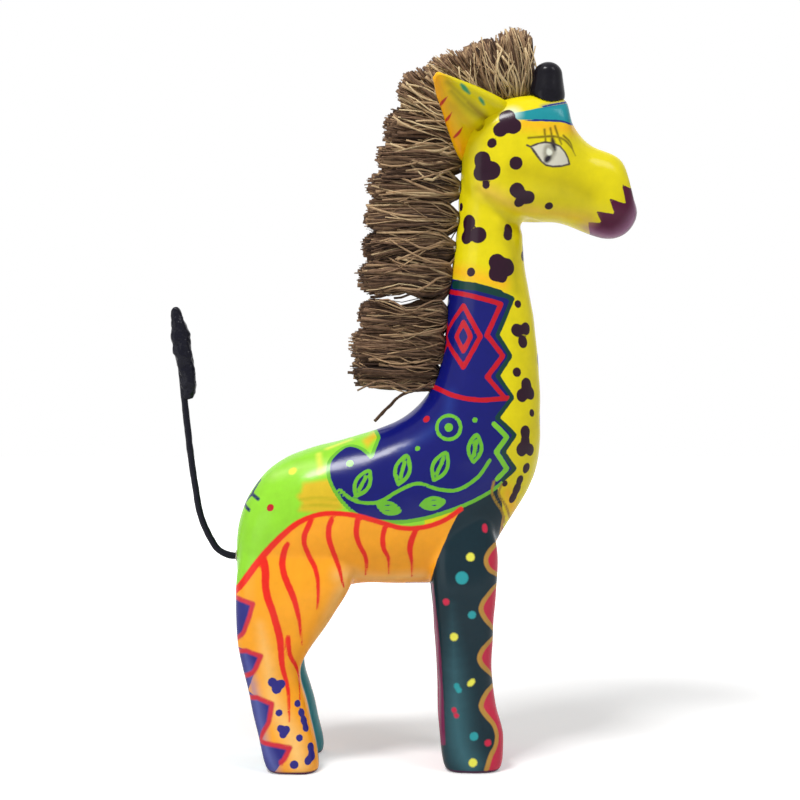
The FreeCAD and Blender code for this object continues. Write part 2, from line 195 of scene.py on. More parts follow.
waveLine = [(39.5, 97.0), (37.2, 88.0), (33.6, 83.2), (32.4, 79.6), (34.0, 76.0), (38.2, 72.8), (34.8, 68.0),
            (31.6, 63.6), (30.4, 60.4), (31.8, 57.0), (35.2, 52.4), (35.2, 49.2), (31.0, 44.0),
            (29.8, 40.6), (31.2, 37.6), (34.6, 34.0), (35.2, 30.4), (32.6, 26.8), (30.8, 23.2),
            (30.6, 20.6), (32.8, 17.4), (35.6, 14.0), (36.8, 9.8), (36.2, 5.4), (34.4, 1.8), (32.6, -4.0)]
toothLine = [(-70.0, 65.6), (-66.4, 64.6), (-60.8, 62.4), (-62.4, 56.8), (-64.4, 51.2), (-68.4, 46.0),
             (-63.6, 43.8), (-57.6, 41.6), (-59.6, 36.8), (-62.8, 27.6), (-59.2, 25.0), (-53.2, 22.4),
             (-54.4, 15.2), (-57.8, 7.6), (-53.2, 6.2), (-46.0, 4.8), (-48.4, 0.0), (-53.2, -6.4)]
eyeShape = [(50.2, 245.4), (53.2, 246.6), (56.0, 247.2), (58.8, 246.8), (62.0, 245.6), (64.0, 243.2),
            (65.2, 240.8), (65.8, 238.4), (62.8, 237.6), (59.2, 237.4), (56.4, 238.0), (54.4, 239.6),
            (52.8, 241.6), (51.2, 244.0)]
headBand = [(40.0, 258.4), (46.0, 259.2), (53.2, 260.8), (64.0, 262.6), (78.0, 264.0), (78.0, 254.4),
            (65.6, 254.6), (62.8, 255.6), (56.0, 256.0), (46.0, 256.2), (40.0, 256.8)]


# A pointed leaf round its own middle line, as one closed outline
def leafOutline(x, z, length, width, turn):
    turn = math.radians(turn)
    ends = []
    for side in (1, -1):
        for share in (0.0, 0.25, 0.5, 0.75):
            along = (share - 0.5) * length * side
            across = math.sin(math.pi * share) ** leafShape["fullness"] * width / 2 * side
            ends.append((x + along * math.cos(turn) - across * math.sin(turn),
                         z + along * math.sin(turn) + across * math.cos(turn)))
    return ends + ends[:1]


def leafVein(x, z, length, turn):
    turn = math.radians(turn)
    reach = length * leafShape["vein"]
    return [(x - reach * math.cos(turn), z - reach * math.sin(turn)),
            (x + reach * math.cos(turn), z + reach * math.sin(turn))]


def ringOf(x, z, radius, count=12):
    return [(x + radius * math.cos(2 * math.pi * i / count),
             z + radius * math.sin(2 * math.pi * i / count)) for i in range(count + 1)]


def diamondOf(x, z, halfWidth, halfHeight):
    return [(x - halfWidth, z), (x, z + halfHeight), (x + halfWidth, z), (x, z - halfHeight),
            (x - halfWidth, z)]


vine = [(-26.0, 108.0), (-20.0, 103.6), (-11.0, 103.0), (-3.0, 107.4), (5.0, 110.6), (13.0, 108.4),
        (21.0, 108.0), (29.0, 113.0), (34.0, 120.0)]
vineLeaves = [(-17.0, 110.6, 11.5, 5.6, 62.0), (-6.4, 100.6, 9.0, 4.2, -12.0),
              (-1.0, 116.0, 12.0, 5.8, 74.0), (11.0, 102.6, 9.5, 4.2, 10.0),
              (14.0, 117.4, 12.0, 5.8, 66.0), (28.0, 124.6, 11.0, 5.2, 84.0)]  # x, z, length, width, turn

# Layers from the ground up. A field is filled, a curve is one soft stroke, a zigzag one
# with corners, and a dot a touch of the brush. Strokes give half their width, and points
# may give their own. Front dots are laid as the front sees them, by y and z.
bodyPaint = {
    "warmGround": {"colour": "FBA624", "soft": 5.0, "strength": 0.85, "half": 1.5,
                   "curves": [[(17.0, 196.4), (28.0, 193.4), (39.0, 190.4)], [(47.0, 254.6), (68.0, 252.6)],
                              [(41.0, 107.0), (44.0, 96.0), (42.0, 86.0)]]},
    # painted shade: the cheeks are darkened with a soft olive glaze, as the side of the head lies in shade
    "cheekShade": {"colour": "B09E00", "soft": 7.0, "strength": 0.7, "half": 2.0,
                   "curves": [[(45.0, 236.0), (56.0, 233.0), (66.0, 230.0), (74.0, 226.0)]]},
    # painted shadow: the jaw's shadow on the front of the neck
    "neckShade": {"colour": "96860A", "soft": 5.5, "strength": 0.7, "half": 0.5,
                  "curves": [[(40.0, 213.0), (43.0, 205.0), (43.8, 196.0), (44.8, 188.0)]]},
    "limeField": {"colour": "94DC34",
                  "fields": [[(-90, 40), (-90, 160), (-6, 160), (6, 146), (8, 90), (8, 40)]]},
    # painted highlight: a pale streak along the lit top of the rump
    "limeGlow": {"colour": "D2FB8C", "soft": 4.0, "strength": 0.55, "half": 1.4,
                 "curves": [[(-52.0, 114.0), (-42.0, 117.0), (-32.0, 118.4)]]},
    "warmPatches": {"colour": "E6B428", "soft": 1.3, "strength": 0.85,
                    "fields": [[(-43.4, 105.6), (-41.6, 107.0), (-40.8, 110.8), (-30.0, 112.4),
                                (-27.6, 107.6), (-24.6, 100.4), (-31.0, 98.6), (-42.6, 99.6),
                                (-41.0, 102.6)],
                               [(-17.0, 127.8), (-12.2, 131.4), (-11.0, 129.4), (-15.2, 125.0)]]},
    "patchShade": {"colour": "A8A414", "soft": 0.9, "strength": 0.6, "half": 0.5,
                   "curves": [[(-42.0, 104.2), (-35.0, 104.8), (-27.6, 104.2)],
                              [(-41.0, 101.4), (-34.0, 102.0), (-26.0, 101.2)]]},
    "yellowPatches": {"colour": "F5EC5A", "soft": 1.4, "strength": 0.75, "half": 1.0,
                      "curves": [[(-34.6, 122.4), (-33.6, 115.0)], [(-22.0, 128.0), (-31.0, 124.6)]]},
    "blueField": {"colour": "10156C",
                  "fields": [[(-12.0, 150.0), (2.0, 197.0)] + blueEdge + blueFoot[1:]]},
    "blueGlow": {"colour": "2A4AA0", "soft": 4.0, "strength": 0.5, "half": 1.0,
                 "curves": [[(18.0, 146.0), (16.6, 138.0), (10.0, 131.2), (-1.0, 124.6)]]},
    "haunchField": {"colour": "FFA924",
                    "fields": [haunchTop + [(20.0, 92.0), (14.0, 80.0), (9.2, 68.0), (8.0, 56.0),
                                            (8.0, -16.0), (-72.0, -16.0)]]},
    # painted reflected light: paler orange along the hind leg's edges and under the belly, as if lit from the
    # floor
    "haunchGlow": {"colour": "FFD384", "soft": 5.0, "strength": 0.8, "half": 1.5,
                   "curves": [[(-58.0, 54.0, -1.0), (-55.0, 38.0, 1.0), (-52.0, 22.0, 2.0),
                               (-45.0, 8.0, 3.0), (-42.0, -2.0, 3.0)],
                              [(-24.0, 70.0), (-31.0, 56.0), (-38.0, 42.0), (-37.0, 24.0),
                               (-35.0, 10.0), (-34.0, -3.0)],
                              [(-26.0, 74.0), (-10.0, 72.8), (6.0, 73.6)]]},
    "foreField": {"colour": "0B2832",
                  "fields": [[(22.8, 101.6), (30.0, 105.6), (36.8, 109.2), (38.8, 104.0), (39.2, 94.0),
                              (40.4, 80.0), (58.0, 80.0), (58.0, -16.0), (8.0, -16.0), (9.2, 68.0),
                              (12.8, 80.0), (18.0, 92.0)]]},
    # painted highlight: a paler streak down the fore leg, widening and lightening the leg towards the foot
    "foreGlow": {"colour": "4F8A96", "soft": 8.0, "strength": 0.62, "half": 2.0,
                 "curves": [[(18.6, 62.0, -5.0), (19.4, 44.0, -2.0), (20.4, 22.0, 1.5), (22.0, 6.0, 2.5),
                             (26.0, -3.0, 2.5)]]},
    "foreBack": {"colour": "7A2850", "soft": 0.4, "fields": [[(0.0, 71.0), (11.2, 71.0), (12.9, 56.0),
                                                            (14.5, 40.0), (15.4, 24.0), (16.2, 6.0),
                                                            (0.0, 4.0)]]},
    "foreFront": {"colour": "CC2C4A", "fields": [waveLine + [(60.0, -10.0), (60.0, 84.0), (39.0, 92.0)]]},
    "toothFill": {"colour": "2A2A80", "fields": [toothLine + [(-90.0, -10.0), (-90.0, 67.2)]]},
    "toothGlow": {"colour": "7480C4", "soft": 3.4, "strength": 0.7, "half": 1.3,
                  "curves": [[(-64.0, 42.0, 0.1), (-60.4, 28.0), (-57.6, 14.0), (-55.4, 4.0),
                              (-52.0, -4.0)]]},
    "muzzle": {"colour": "500730",
               "fields": [[(73.2, 208.0), (74.0, 210.4), (73.2, 215.2), (78.8, 214.8), (76.4, 219.6),
                           (84.0, 218.4), (81.6, 224.8), (88.4, 222.4), (86.8, 230.4), (90.0, 228.8),
                           (104.0, 228.8), (104.0, 200.0), (73.0, 200.0)]]},
    # painted reflected light: a paler warm band along the underside of the jaw
    "jawLight": {"colour": "E8B450", "soft": 4.4, "strength": 0.6, "half": 2.2,
                 "curves": [[(32.0, 228.4), (46.0, 221.0), (62.0, 218.4), (73.0, 216.6)]]},
    # painted reflected light: the underside of the muzzle is washed a paler violet, as if lit by the white
    # floor below
    "muzzleReflectedLight": {"colour": "B07CA2", "soft": 5.0, "strength": 0.75, "half": 2.0,
                   "curves": [[(91.6, 227.0, 0.6), (92.0, 219.0, 1.0), (89.0, 212.8), (83.0, 209.6),
                               (76.0, 210.6), (73.0, 212.6)]]},
    "band": {"colour": "1A8C96", "fields": [headBand]},
    "bandDeep": {"colour": "1C4E86", "soft": 1.6, "strength": 0.8, "half": 0.5,
                 "curves": [[(55.0, 261.6), (64.0, 263.0), (74.0, 263.6)]]},
    "bandShine": {"colour": "D4EFE6", "soft": 3.4, "strength": 0.9, "dots": [(42.6, 258.2, 2.6)]},
    "bandEdges": {"colour": "17307E", "half": 0.42,
                  "curves": [[(55.2, 261.4), (58.0, 262.0), (64.0, 263.0), (72.0, 263.4)],
                             [(48.0, 256.2), (51.0, 256.0), (56.0, 255.9), (62.8, 255.5), (66.0, 254.5),
                              (70.0, 253.6)]]},
    "limeLines": {"colour": "6CB832", "half": 0.72,
                  "curves": [blueFoot, vine] + [leafOutline(*leaf) for leaf in vineLeaves]
                  + [leafVein(x, z, length, turn) for x, z, length, _, turn in vineLeaves]
                  + [ringOf(17.5, 133.0, 4.8)],
                  "dots": [(17.5, 133.0, 1.7), (-22.0, 118.6, 1.5), (28.0, 136.0, 1.1), (5.0, 124.6, 1.1)]},
    "limeInset": {"colour": "7CC634", "half": 1.0,
                  "zigzags": [[(35.6, 134.4), (40.8, 129.2), (36.4, 123.2), (40.8, 116.4), (36.8, 112.4)]]},
    "redLines": {"colour": "BE1426", "half": 0.95,
                 "zigzags": [[(12.0, 188.4), (26.8, 185.6), (38.4, 182.4), (32.8, 170.0), (39.2, 161.6),
                              (32.8, 153.2), (39.6, 145.2)],
                             diamondOf(23.4, 169.4, 6.8, 12.4), diamondOf(23.4, 169.4, 2.9, 5.8),
                             [(13.0, 178.0), (17.0, 172.2)], [(13.0, 160.8), (17.0, 166.6)]],
                 "curves": [[(6.0, 151.0), (11.6, 149.2), (20.0, 145.6), (30.0, 144.0), (42.0, 144.8)]],
                 "dots": [(8.6, 136.4, 1.5), (-53.9, 100.9, 1.5)]},
    "greenBorder": {"colour": "0A3A34", "half": 0.85,
                    "zigzags": [[(6.0, 195.0, 1.5), (16.0, 192.4, 1.5), (28.0, 189.4, 1.6),
                                 (38.0, 186.6, 1.5), (43.0, 184.6, 1.0)], blueEdge[3:]]},
    "stripes": {"colour": "EE2A1C", "half": 0.95, "soft": 0.35,
                "curves": [[(x, z, 1.7 - 0.7 * min(i / 5, 1)) for i, (x, z) in enumerate(haunchTop)],
                           [(-37.8, 95.6, 1.1), (-38.8, 93.2, 1.1), (-40.2, 90.0, 1.1), (-40.2, 86.0, 1.0),
                            (-38.3, 81.4, 1.0), (-36.0, 76.8, 1.0), (-34.9, 71.6, 0.8), (-34.8, 64.4, 0.6),
                            (-35.2, 60.0, 0.3)],
                           [(-29.4, 96.0, 1.1), (-30.5, 92.8, 1.1), (-30.3, 87.8, 1.1), (-28.4, 82.4, 1.0),
                            (-26.4, 76.8, 0.9), (-25.2, 71.6, 0.6), (-24.4, 68.8, 0.3)],
                           [(-19.0, 96.0, 1.1), (-19.5, 91.0, 1.1), (-18.4, 86.4, 1.0), (-16.0, 81.8, 0.9),
                            (-15.4, 77.6, 0.7), (-15.8, 74.0, 0.3)],
                           [(-8.0, 93.2, 1.0), (-8.9, 89.2, 1.0), (-8.5, 84.6, 1.0), (-6.6, 80.4, 0.7),
                            (-6.4, 74.4, 0.3)],
                           [(4.4, 92.0, 0.9), (2.4, 87.2, 1.2), (2.0, 83.6, 1.1), (2.8, 78.4, 0.6),
                            (2.8, 73.2, 0.3)],
                           [(-47.0, 86.4, 0.9), (-48.4, 83.2, 1.2), (-49.1, 78.6, 1.3), (-48.2, 73.6, 1.3),
                            (-46.1, 68.4, 1.3), (-44.3, 64.0, 1.2), (-42.4, 56.0, 0.8), (-41.2, 46.0, 0.3)],
                           [(-46.8, 49.2, 0.9), (-46.0, 42.0, 0.9), (-42.8, 35.2, 0.7), (-42.0, 24.0, 0.3)],
                           [(-56.4, 79.2, 1.6), (-55.8, 74.8, 1.6), (-55.8, 69.4, 1.5), (-54.8, 64.4, 1.5),
                            (-52.8, 58.8, 1.4), (-50.0, 48.0, 1.4), (-49.2, 38.0, 1.1), (-46.8, 28.0, 0.8),
                            (-46.4, 15.2, 0.4)]]},
    "toothEdge": {"colour": "D2303F", "half": 0.95, "soft": 0.5, "zigzags": [toothLine]},
    "hearts": {"colour": "2C2A84",
               "dots": [(-53.2, 31.2, 1.7), (-49.6, 30.4, 1.7), (-51.4, 28.2, 1.8), (-50.4, 18.8, 1.4),
                        (-50.0, 12.6, 1.3), (-47.4, 12.2, 1.4), (-48.8, 10.0, 1.4), (-43.0, 22.6, 1.4),
                        (-41.4, 19.0, 1.5), (-40.4, 15.8, 1.6), (-39.6, 12.8, 1.5), (-42.2, 8.8, 1.4),
                        (-37.6, 5.2, 1.8), (-37.2, 1.8, 1.9), (-38.8, -0.4, 1.6), (-44.4, -2.0, 1.7)]},
    "waveEdge": {"colour": "BE8E40", "half": 0.95, "soft": 0.35, "curves": [waveLine]},
    "chestTrim": {"colour": "A8842A", "half": 0.55, "soft": 0.4,
                  "curves": [[(35.6, 111.6), (34.8, 107.0), (36.6, 103.0), (38.8, 99.6), (39.8, 95.0)],
                             [(38.8, 110.4), (37.6, 106.4), (40.4, 101.6), (42.0, 96.6)]]},
    "redTouches": {"colour": "CE2848", "soft": 0.4,
                   "dots": [(32.0, 93.4, 1.1), (32.0, 92.0, 1.1), (16.4, 63.2, 1.4), (19.6, 20.0, 1.0),
                            (20.6, 17.6, 1.0), (33.2, 6.8, 1.4)]},
    "yellowTouches": {"colour": "EEEA55", "soft": 0.4,
                      "dots": [(26.2, 81.2, 1.7), (19.6, 49.2, 1.6), (26.0, 30.4, 1.1), (27.2, 31.6, 0.9),
                               (27.2, -1.2, 1.7), (-45.0, 115.6, 1.8)]},
    "tealTouches": {"colour": "2E9EA4", "soft": 0.4,
                    "dots": [(22.8, 72.8, 2.5), (26.8, 58.0, 1.6), (20.6, 29.6, 1.1), (21.6, 27.8, 1.1),
                             (27.6, 9.4, 1.7)]},
    "rumpMark": {"colour": "1A2A5A", "half": 0.9, "soft": 0.4,
                 "zigzags": [[(-58.2, 111.6, 0.4), (-61.4, 106.2, 1.3), (-64.2, 102.0, 1.1)],
                             [(-61.2, 106.6, 1.1), (-58.6, 104.2, 0.7)],
                             [(-64.0, 102.4, 1.0), (-62.2, 99.8, 0.7)]]},
    "spots": {"colour": "2A0A20",
              "dots": [(40.8, 257.4, 3.2), (38.2, 252.2, 2.9), (43.4, 253.6, 3.1), (34.8, 246.8, 1.9),
                       (30.8, 240.2, 3.3), (34.6, 235.8, 3.6), (30.2, 234.8, 3.0), (44.4, 238.8, 2.6),
                       (32.4, 230.0, 1.5), (44.8, 228.0, 2.9), (49.2, 225.0, 2.7), (45.6, 223.0, 1.9),
                       (57.6, 221.6, 1.7), (22.4, 221.2, 1.7), (25.4, 215.0, 3.1), (24.6, 209.2, 2.8),
                       (29.4, 210.0, 3.2), (41.4, 212.6, 2.0), (41.2, 209.8, 2.0), (36.8, 199.2, 3.3),
                       (40.8, 197.2, 3.5), (36.4, 194.4, 2.9), (38.8, 193.2, 2.2), (26.4, 195.2, 1.8),
                       (45.2, 182.4, 1.6), (44.8, 172.0, 2.6), (48.4, 172.6, 2.5), (47.2, 167.2, 2.4),
                       (44.8, 155.2, 1.9), (48.6, 150.2, 2.7), (46.8, 145.8, 2.6), (50.2, 146.6, 2.5),
                       (50.8, 138.8, 1.6), (48.2, 131.2, 2.6), (48.2, 127.6, 2.3), (46.8, 124.2, 2.7),
                       (50.2, 124.0, 2.4), (48.6, 116.8, 2.1), (46.0, 112.0, 1.9), (44.8, 108.4, 2.3),
                       (43.2, 104.8, 2.2), (40.0, 110.6, 1.3)],
              "frontDots": [(1.5, 204.0, 2.2), (4.0, 201.0, 2.0), (0.0, 184.0, 2.4), (1.5, 160.0, 2.8),
                            (0.0, 156.5, 2.2), (2.5, 136.0, 2.6), (0.0, 118.0, 2.4), (1.5, 114.6, 2.0),
                            (0.0, 100.0, 2.0)]},
    "eyeWhite": {"colour": "D3D0BE", "fields": [eyeShape]},
    "iris": {"colour": "8A8672", "soft": 0.9, "strength": 0.75,
             "fields": [[(56.4, 246.4), (58.8, 246.8), (60.4, 245.2), (60.4, 242.8), (59.2, 240.4),
                         (57.2, 239.2), (55.6, 240.4), (55.2, 242.8), (55.6, 245.2)]]},
    "pupil": {"colour": "26212A", "soft": 0.7, "half": 0.7,
              "curves": [[(59.0, 248.4, 0.5), (59.4, 246.4, 0.9), (60.0, 244.2, 0.5)],
                         [(58.0, 241.6, 0.5), (57.2, 240.6, 1.1), (56.6, 239.8, 0.9)]]},
    "glint": {"colour": "E2E4D2", "soft": 0.5, "half": 0.7,
              "curves": [[(57.4, 244.2, 0.4), (57.8, 243.0, 1.1)]]},
    "ink": {"colour": "40363A", "soft": 0.3, "half": 0.36, "zigzags": [eyeShape + eyeShape[:1]],
            "curves": [[(48.8, 246.0), (51.0, 244.6), (54.4, 239.8)]]},
    "lashes": {"colour": "4C3C08", "half": 0.42, "soft": 0.45, "strength": 0.85,
               "curves": [[(49.4, 248.9), (55.0, 249.3), (59.6, 249.5), (63.2, 248.4), (66.2, 245.6),
                           (68.2, 241.8, 0.2)],
                          [(55.8, 252.2), (56.3, 247.2, 0.3)], [(58.2, 252.8), (59.2, 247.2, 0.3)],
                          [(60.0, 253.6), (61.2, 250.0), (62.6, 246.4, 0.3)],
                          [(63.4, 249.8), (66.0, 247.2), (67.4, 243.6, 0.2)]]},
}
earPaint = {
    "earGlow": {"colour": "FF9C06", "soft": 6.5, "strength": 1.0, "half": 2.6,
                "curves": [[(12.4, 272.0), (13.6, 264.0), (17.0, 254.0), (23.0, 243.0)]]},
    "earShade": {"colour": "D4A010", "soft": 3.0, "strength": 0.6, "half": 1.5,
                 "curves": [[(19.0, 262.0), (25.0, 255.0), (28.0, 250.0)]]},
    # painted shade: a dark olive band along the ear's fold, where the rolled rim shades the hollow
    "earFoldShadow": {"colour": "8E7A0C", "soft": 2.0, "strength": 0.8, "half": 0.6,
                "curves": [[(17.0, 271.4), (22.0, 266.4), (28.0, 261.4), (33.0, 257.0)],
                           [(18.6, 267.6), (24.0, 262.0), (31.0, 256.4, 0.8)]]},
    # painted shadow: a thin dark line deep in the fold, where the ear meets the head
    "earCreaseShadow": {"colour": "7A5610", "soft": 1.0, "strength": 0.75, "half": 0.3,
                  "curves": [[(25.0, 263.0, 0.1), (29.0, 259.4, 0.4), (33.6, 255.8, 0.7)]]},
    "earDashes": {"colour": "C4301A", "half": 0.5, "soft": 0.3,
                  "curves": [[(14.0, 261.8, 0.2), (15.2, 263.4, 0.7), (17.0, 265.4, 0.2)],
                             [(16.0, 255.4, 0.2), (17.4, 257.0, 0.6), (18.8, 259.2, 0.2)],
                             [(19.6, 249.0, 0.2), (21.4, 250.8, 0.7), (23.0, 253.2, 0.2)]]},
    "earMarks": {"colour": "3C9A6C", "soft": 0.6, "half": 0.7,
                 "curves": [[(22.6, 270.2, 0.5), (24.0, 268.6, 0.9), (25.8, 266.6, 0.5)],
                            [(29.8, 265.0, 0.4), (30.8, 263.6, 0.7), (31.6, 262.2, 0.4)]]},
}


# A soft curve through the points, with more points on it, each with its half width
def rounded(points, half, steps=5):
    given = np.array([point if len(point) == 3 else (*point, half) for point in points], float)
    padded = np.vstack([2 * given[0] - given[1], given, 2 * given[-1] - given[-2]])
    made = []
    for before, start, end, after in zip(padded, padded[1:], padded[2:], padded[3:]):
        for step in range(steps):
            t = step / steps
            made.append(0.5 * (2 * start + (end - before) * t
                               + (2 * before - 5 * start + 4 * end - after) * t * t
                               + (3 * start - before - 3 * end + after) * t ** 3))
    made.append(given[-1])
    return made


# Lays flat points on the surface, and fills in between them so that a stroke hugs it
def laidOn(surface, points):
    laid = []
    for x, z, *half in points:
        flat = Vector((x, 0, z)) * mm
        hit = surface.ray_cast(eyePoint, (flat - eyePoint).normalized())[0]
        if hit is None:
            hit = surface.find_nearest(flat)[0]
        laid.append((hit / mm, half))
    full = laid[:1]
    for (here, _), (there, half) in zip(laid, laid[1:]):
        count = max(1, math.ceil((there - here).length / strokeStep))
        for i in range(1, count):
            between = surface.find_nearest(here.lerp(there, i / count) * mm)[0] / mm
            full.append((between, half))
        full.append((there, half))
    return full


# Where the eye sees points of the right side, on the flat layout
def flatView(points):
    depth = -eyePoint.y / mm - np.abs(points[:, 1])
    scale = (-eyePoint.y / mm / depth)[:, None]
    centre = np.array([eyePoint.x / mm, eyePoint.z / mm])
    return (points[:, [0, 2]] - centre) * scale + centre


def toSegment(points, start, end):
    along = end - start
    share = np.clip(((points - start) @ along) / max(along @ along, tiny), 0, 1)
    return np.linalg.norm(points - start - share[:, None] * along, axis=1)


# Distance to a closed flat outline, negative inside it
def toField(flat, outline):
    outline = np.array(outline, float)
    distance = np.full(len(flat), farAway)
    inside = np.zeros(len(flat), bool)
    for start, end in zip(outline, np.roll(outline, -1, axis=0)):
        distance = np.minimum(distance, toSegment(flat, start, end))
        if start[1] != end[1]:
            crosses = (start[1] > flat[:, 1]) != (end[1] > flat[:, 1])
            at = (end[0] - start[0]) * (flat[:, 1] - start[1]) / (end[1] - start[1]) + start[0]
            inside ^= crosses & (flat[:, 0] < at)
    return np.where(inside, -distance, distance)


# Brings the distances down to those from a laid stroke's edge, where that is nearer
def toStroke(points, line, half, distance):
    for (start, _), (end, ownHalf) in zip(line, line[1:]):
        start, end = np.array(start), np.array(end)
        width = ownHalf[0] if ownHalf else half
        low = np.minimum(start, end) - farAway
        high = np.maximum(start, end) + farAway
        near = np.all((points > low) & (points < high), axis=1)
        distance[near] = np.minimum(distance[near], toSegment(points[near], start, end) - width)
    return distance


# Gives a painted piece one distance attribute for each layer of its layout
def layPaint(piece, layout):
    points = pointsOf(piece.data)
    count = len(points)
    left = points[:, 1] > 0
    drift = secondTry["drift"] * np.clip(points[:, 1] / secondTry["growsOver"], 0, 1)
    shift = np.stack([np.sin(points[:, 2] / secondTry["waveUp"]), np.zeros(count),
                      np.sin(points[:, 0] / secondTry["waveAlong"] + secondTry["phase"])], 1)
    points = np.where(left[:, None], points + drift[:, None] * shift, points)
    points[:, 1] = -np.abs(points[:, 1])
    flat = flatView(points)
    mesh = bmesh.new()
    mesh.from_mesh(piece.data)
    if left.all():  # a piece of the left side alone is mirrored to where the layouts lie
        bmesh.ops.scale(mesh, verts=mesh.verts, vec=(1, -1, 1))
    surface = BVHTree.FromBMesh(mesh)
    mesh.free()
    for name, layer in layout.items():
        distance = np.full(count, farAway)
        for outline in layer.get("fields", []):
            distance = np.minimum(distance, toField(flat, outline))
        lines = [rounded(curve, layer["half"]) for curve in layer.get("curves", [])]
        lines += layer.get("zigzags", [])
        for line in lines:
            distance = toStroke(points, laidOn(surface, line), layer["half"], distance)
        touches = [(laidOn(surface, [dot])[0][0], dot[2]) for dot in layer.get("dots", [])]
        for y, z, radius in layer.get("frontDots", []):
            hit = surface.ray_cast(Vector((inFront, -y, z)) * mm, Vector((-1, 0, 0)))[0]
            touches.append((hit / mm, radius))
        if touches:
            melted = np.zeros(count)
            for middle, radius in touches:
                reach = np.linalg.norm(points - np.array(middle), axis=1) - radius
                melted += np.exp(-melt * np.minimum(reach, farAway))
            distance = np.minimum(distance, -np.log(np.maximum(melted, tiny)) / melt)
        writePoints(piece.data, name, distance)
    print(f"{piece.name}: {len(layout)} layers of paint")


# Widths of edges, wavers and grains in millimetres. Layers with a soft edge lie flat, and
# the others stand up by the relief.
paintLook = {"ground": "E4D410", "edge": 0.16, "waver": 0.35, "waverGrain": 2.2, "streakGrain": 5.0,
             "flatFrom": 1.0, "relief": 0.05, "toolMarks": 0.12}


# Brushed acrylic on sanded jacaranda wood, under a clear gloss lacquer: flat colours, a
# little streaky, with hand-drawn edges and a hard shine
def brushedPaint(name, layout, extras=None):
    material, tree = newMaterial(name)
    place = addNode(tree, "ShaderNodeTexCoord").outputs["Object"]
    waver = addNode(tree, "ShaderNodeTexNoise", {"Vector": place, "Detail": 2.0,
                                                "Scale": 1 / (paintLook["waverGrain"] * mm)})
    drift = addNode(tree, "ShaderNodeMapRange", {"Value": waver.outputs[0],
                                                "To Min": -paintLook["waver"] / 2,
                                                "To Max": paintLook["waver"] / 2})
    colour = linear(paintLook["ground"])
    relief = None
    for layer, facts in layout.items():
        distance = addNode(tree, "ShaderNodeAttribute", attribute_name=layer).outputs["Fac"]
        wavering = addNode(tree, "ShaderNodeMath", {0: distance, 1: drift.outputs[0]})
        soft = facts.get("soft", paintLook["edge"])
        cover = addNode(tree, "ShaderNodeMapRange",
                        {"Value": wavering.outputs[0], "From Min": soft, "From Max": -soft,
                         "To Max": facts.get("strength", 1.0)}, interpolation_type="SMOOTHSTEP").outputs[0]
        colour = addNode(tree, "ShaderNodeMix", {"Factor": cover, 6: colour, 7: linear(facts["colour"])},
                         data_type="RGBA").outputs[2]
        if soft < paintLook["flatFrom"]:
            relief = cover if relief is None else addNode(
                tree, "ShaderNodeMath", {0: relief, 1: cover}, operation="MAXIMUM").outputs[0]
    if extras:
        colour = extras(tree, place, colour)
    streaks = addNode(tree, "ShaderNodeTexNoise", {"Vector": place, "Detail": 5.0, "Roughness": 0.6,
                                                  "Scale": 1 / (paintLook["streakGrain"] * mm)})
    value = addNode(tree, "ShaderNodeMapRange", {"Value": streaks.outputs[0], "From Min": 0.25,
                                                "From Max": 0.75, "To Min": 0.93, "To Max": 1.06})
    streaked = addNode(tree, "ShaderNodeHueSaturation", {"Color": colour, "Value": value.outputs[0]})
    rough = addNode(tree, "ShaderNodeMapRange", {"Value": streaks.outputs[0], "To Min": 0.30, "To Max": 0.46})
    brushRelief = addNode(tree, "ShaderNodeBump", {"Height": relief, "Strength": 0.5,
                                                  "Distance": paintLook["relief"] * mm})
    carved = addNode(tree, "ShaderNodeBump", {"Height": waver.outputs[0], "Strength": 0.25,
                                             "Distance": paintLook["toolMarks"] * mm,
                                             "Normal": brushRelief.outputs[0]})
    shader = addNode(tree, "ShaderNodeBsdfPrincipled",
                     {"Base Color": streaked.outputs[0], "Roughness": rough.outputs[0], "IOR": 1.49,
                      "Specular IOR Level": 0.0, "Coat Weight": 0.38, "Coat Roughness": 0.19,
                      "Coat IOR": 1.5,
                      "Normal": carved.outputs[0], "Coat Normal": carved.outputs[0]})
    closeMaterial(tree, shader)
    return material


# The insides of the legs and the edges of the soles have colours of their own. An inside
# starts where the surface turns inwards and ends below the belly.
legPaint = {"hindInside": "3A8C94", "foreInside": "A8345E", "edge": 0.3, "legsPartAt": -10.0,
            "inwards": 0.05, "sharpness": 4, "top": 62.0, "topFade": 2.0,
            "sole": "4A1A40", "soleHeight": 0.8, "soleEnd": 1.5}


def legColours(tree, place, colour):
    for layer in ("hindInside", "foreInside"):
        distance = addNode(tree, "ShaderNodeAttribute", attribute_name=layer).outputs["Fac"]
        cover = addNode(tree, "ShaderNodeMapRange", {"Value": distance, "From Min": legPaint["edge"],
                                                    "From Max": -legPaint["edge"]})
        colour = addNode(tree, "ShaderNodeMix", {"Factor": cover.outputs[0], 6: colour,
                                                 7: linear(legPaint[layer])}, data_type="RGBA").outputs[2]
    height = addNode(tree, "ShaderNodeSeparateXYZ", {0: place}).outputs["Z"]
    sole = addNode(tree, "ShaderNodeMapRange", {"Value": height, "From Min": legPaint["soleEnd"] * mm,
                                               "From Max": legPaint["soleHeight"] * mm})
    return addNode(tree, "ShaderNodeMix", {"Factor": sole.outputs[0], 6: colour,
                                           7: linear(legPaint["sole"])}, data_type="RGBA").outputs[2]


def layLegInsides(piece):
    place = pointsOf(piece.data)
    normal = np.array([entry.vector for entry in piece.data.vertex_normals])
    outward = normal[:, 1] * np.sign(place[:, 1])
    inner = (outward - legPaint["inwards"]) * legPaint["sharpness"]
    inner = np.maximum(inner, (place[:, 2] - legPaint["top"]) / legPaint["topFade"])
    hind = place[:, 0] < legPaint["legsPartAt"]
    writePoints(piece.data, "hindInside", np.where(hind, inner, farAway))
    writePoints(piece.data, "foreInside", np.where(hind, farAway, inner))


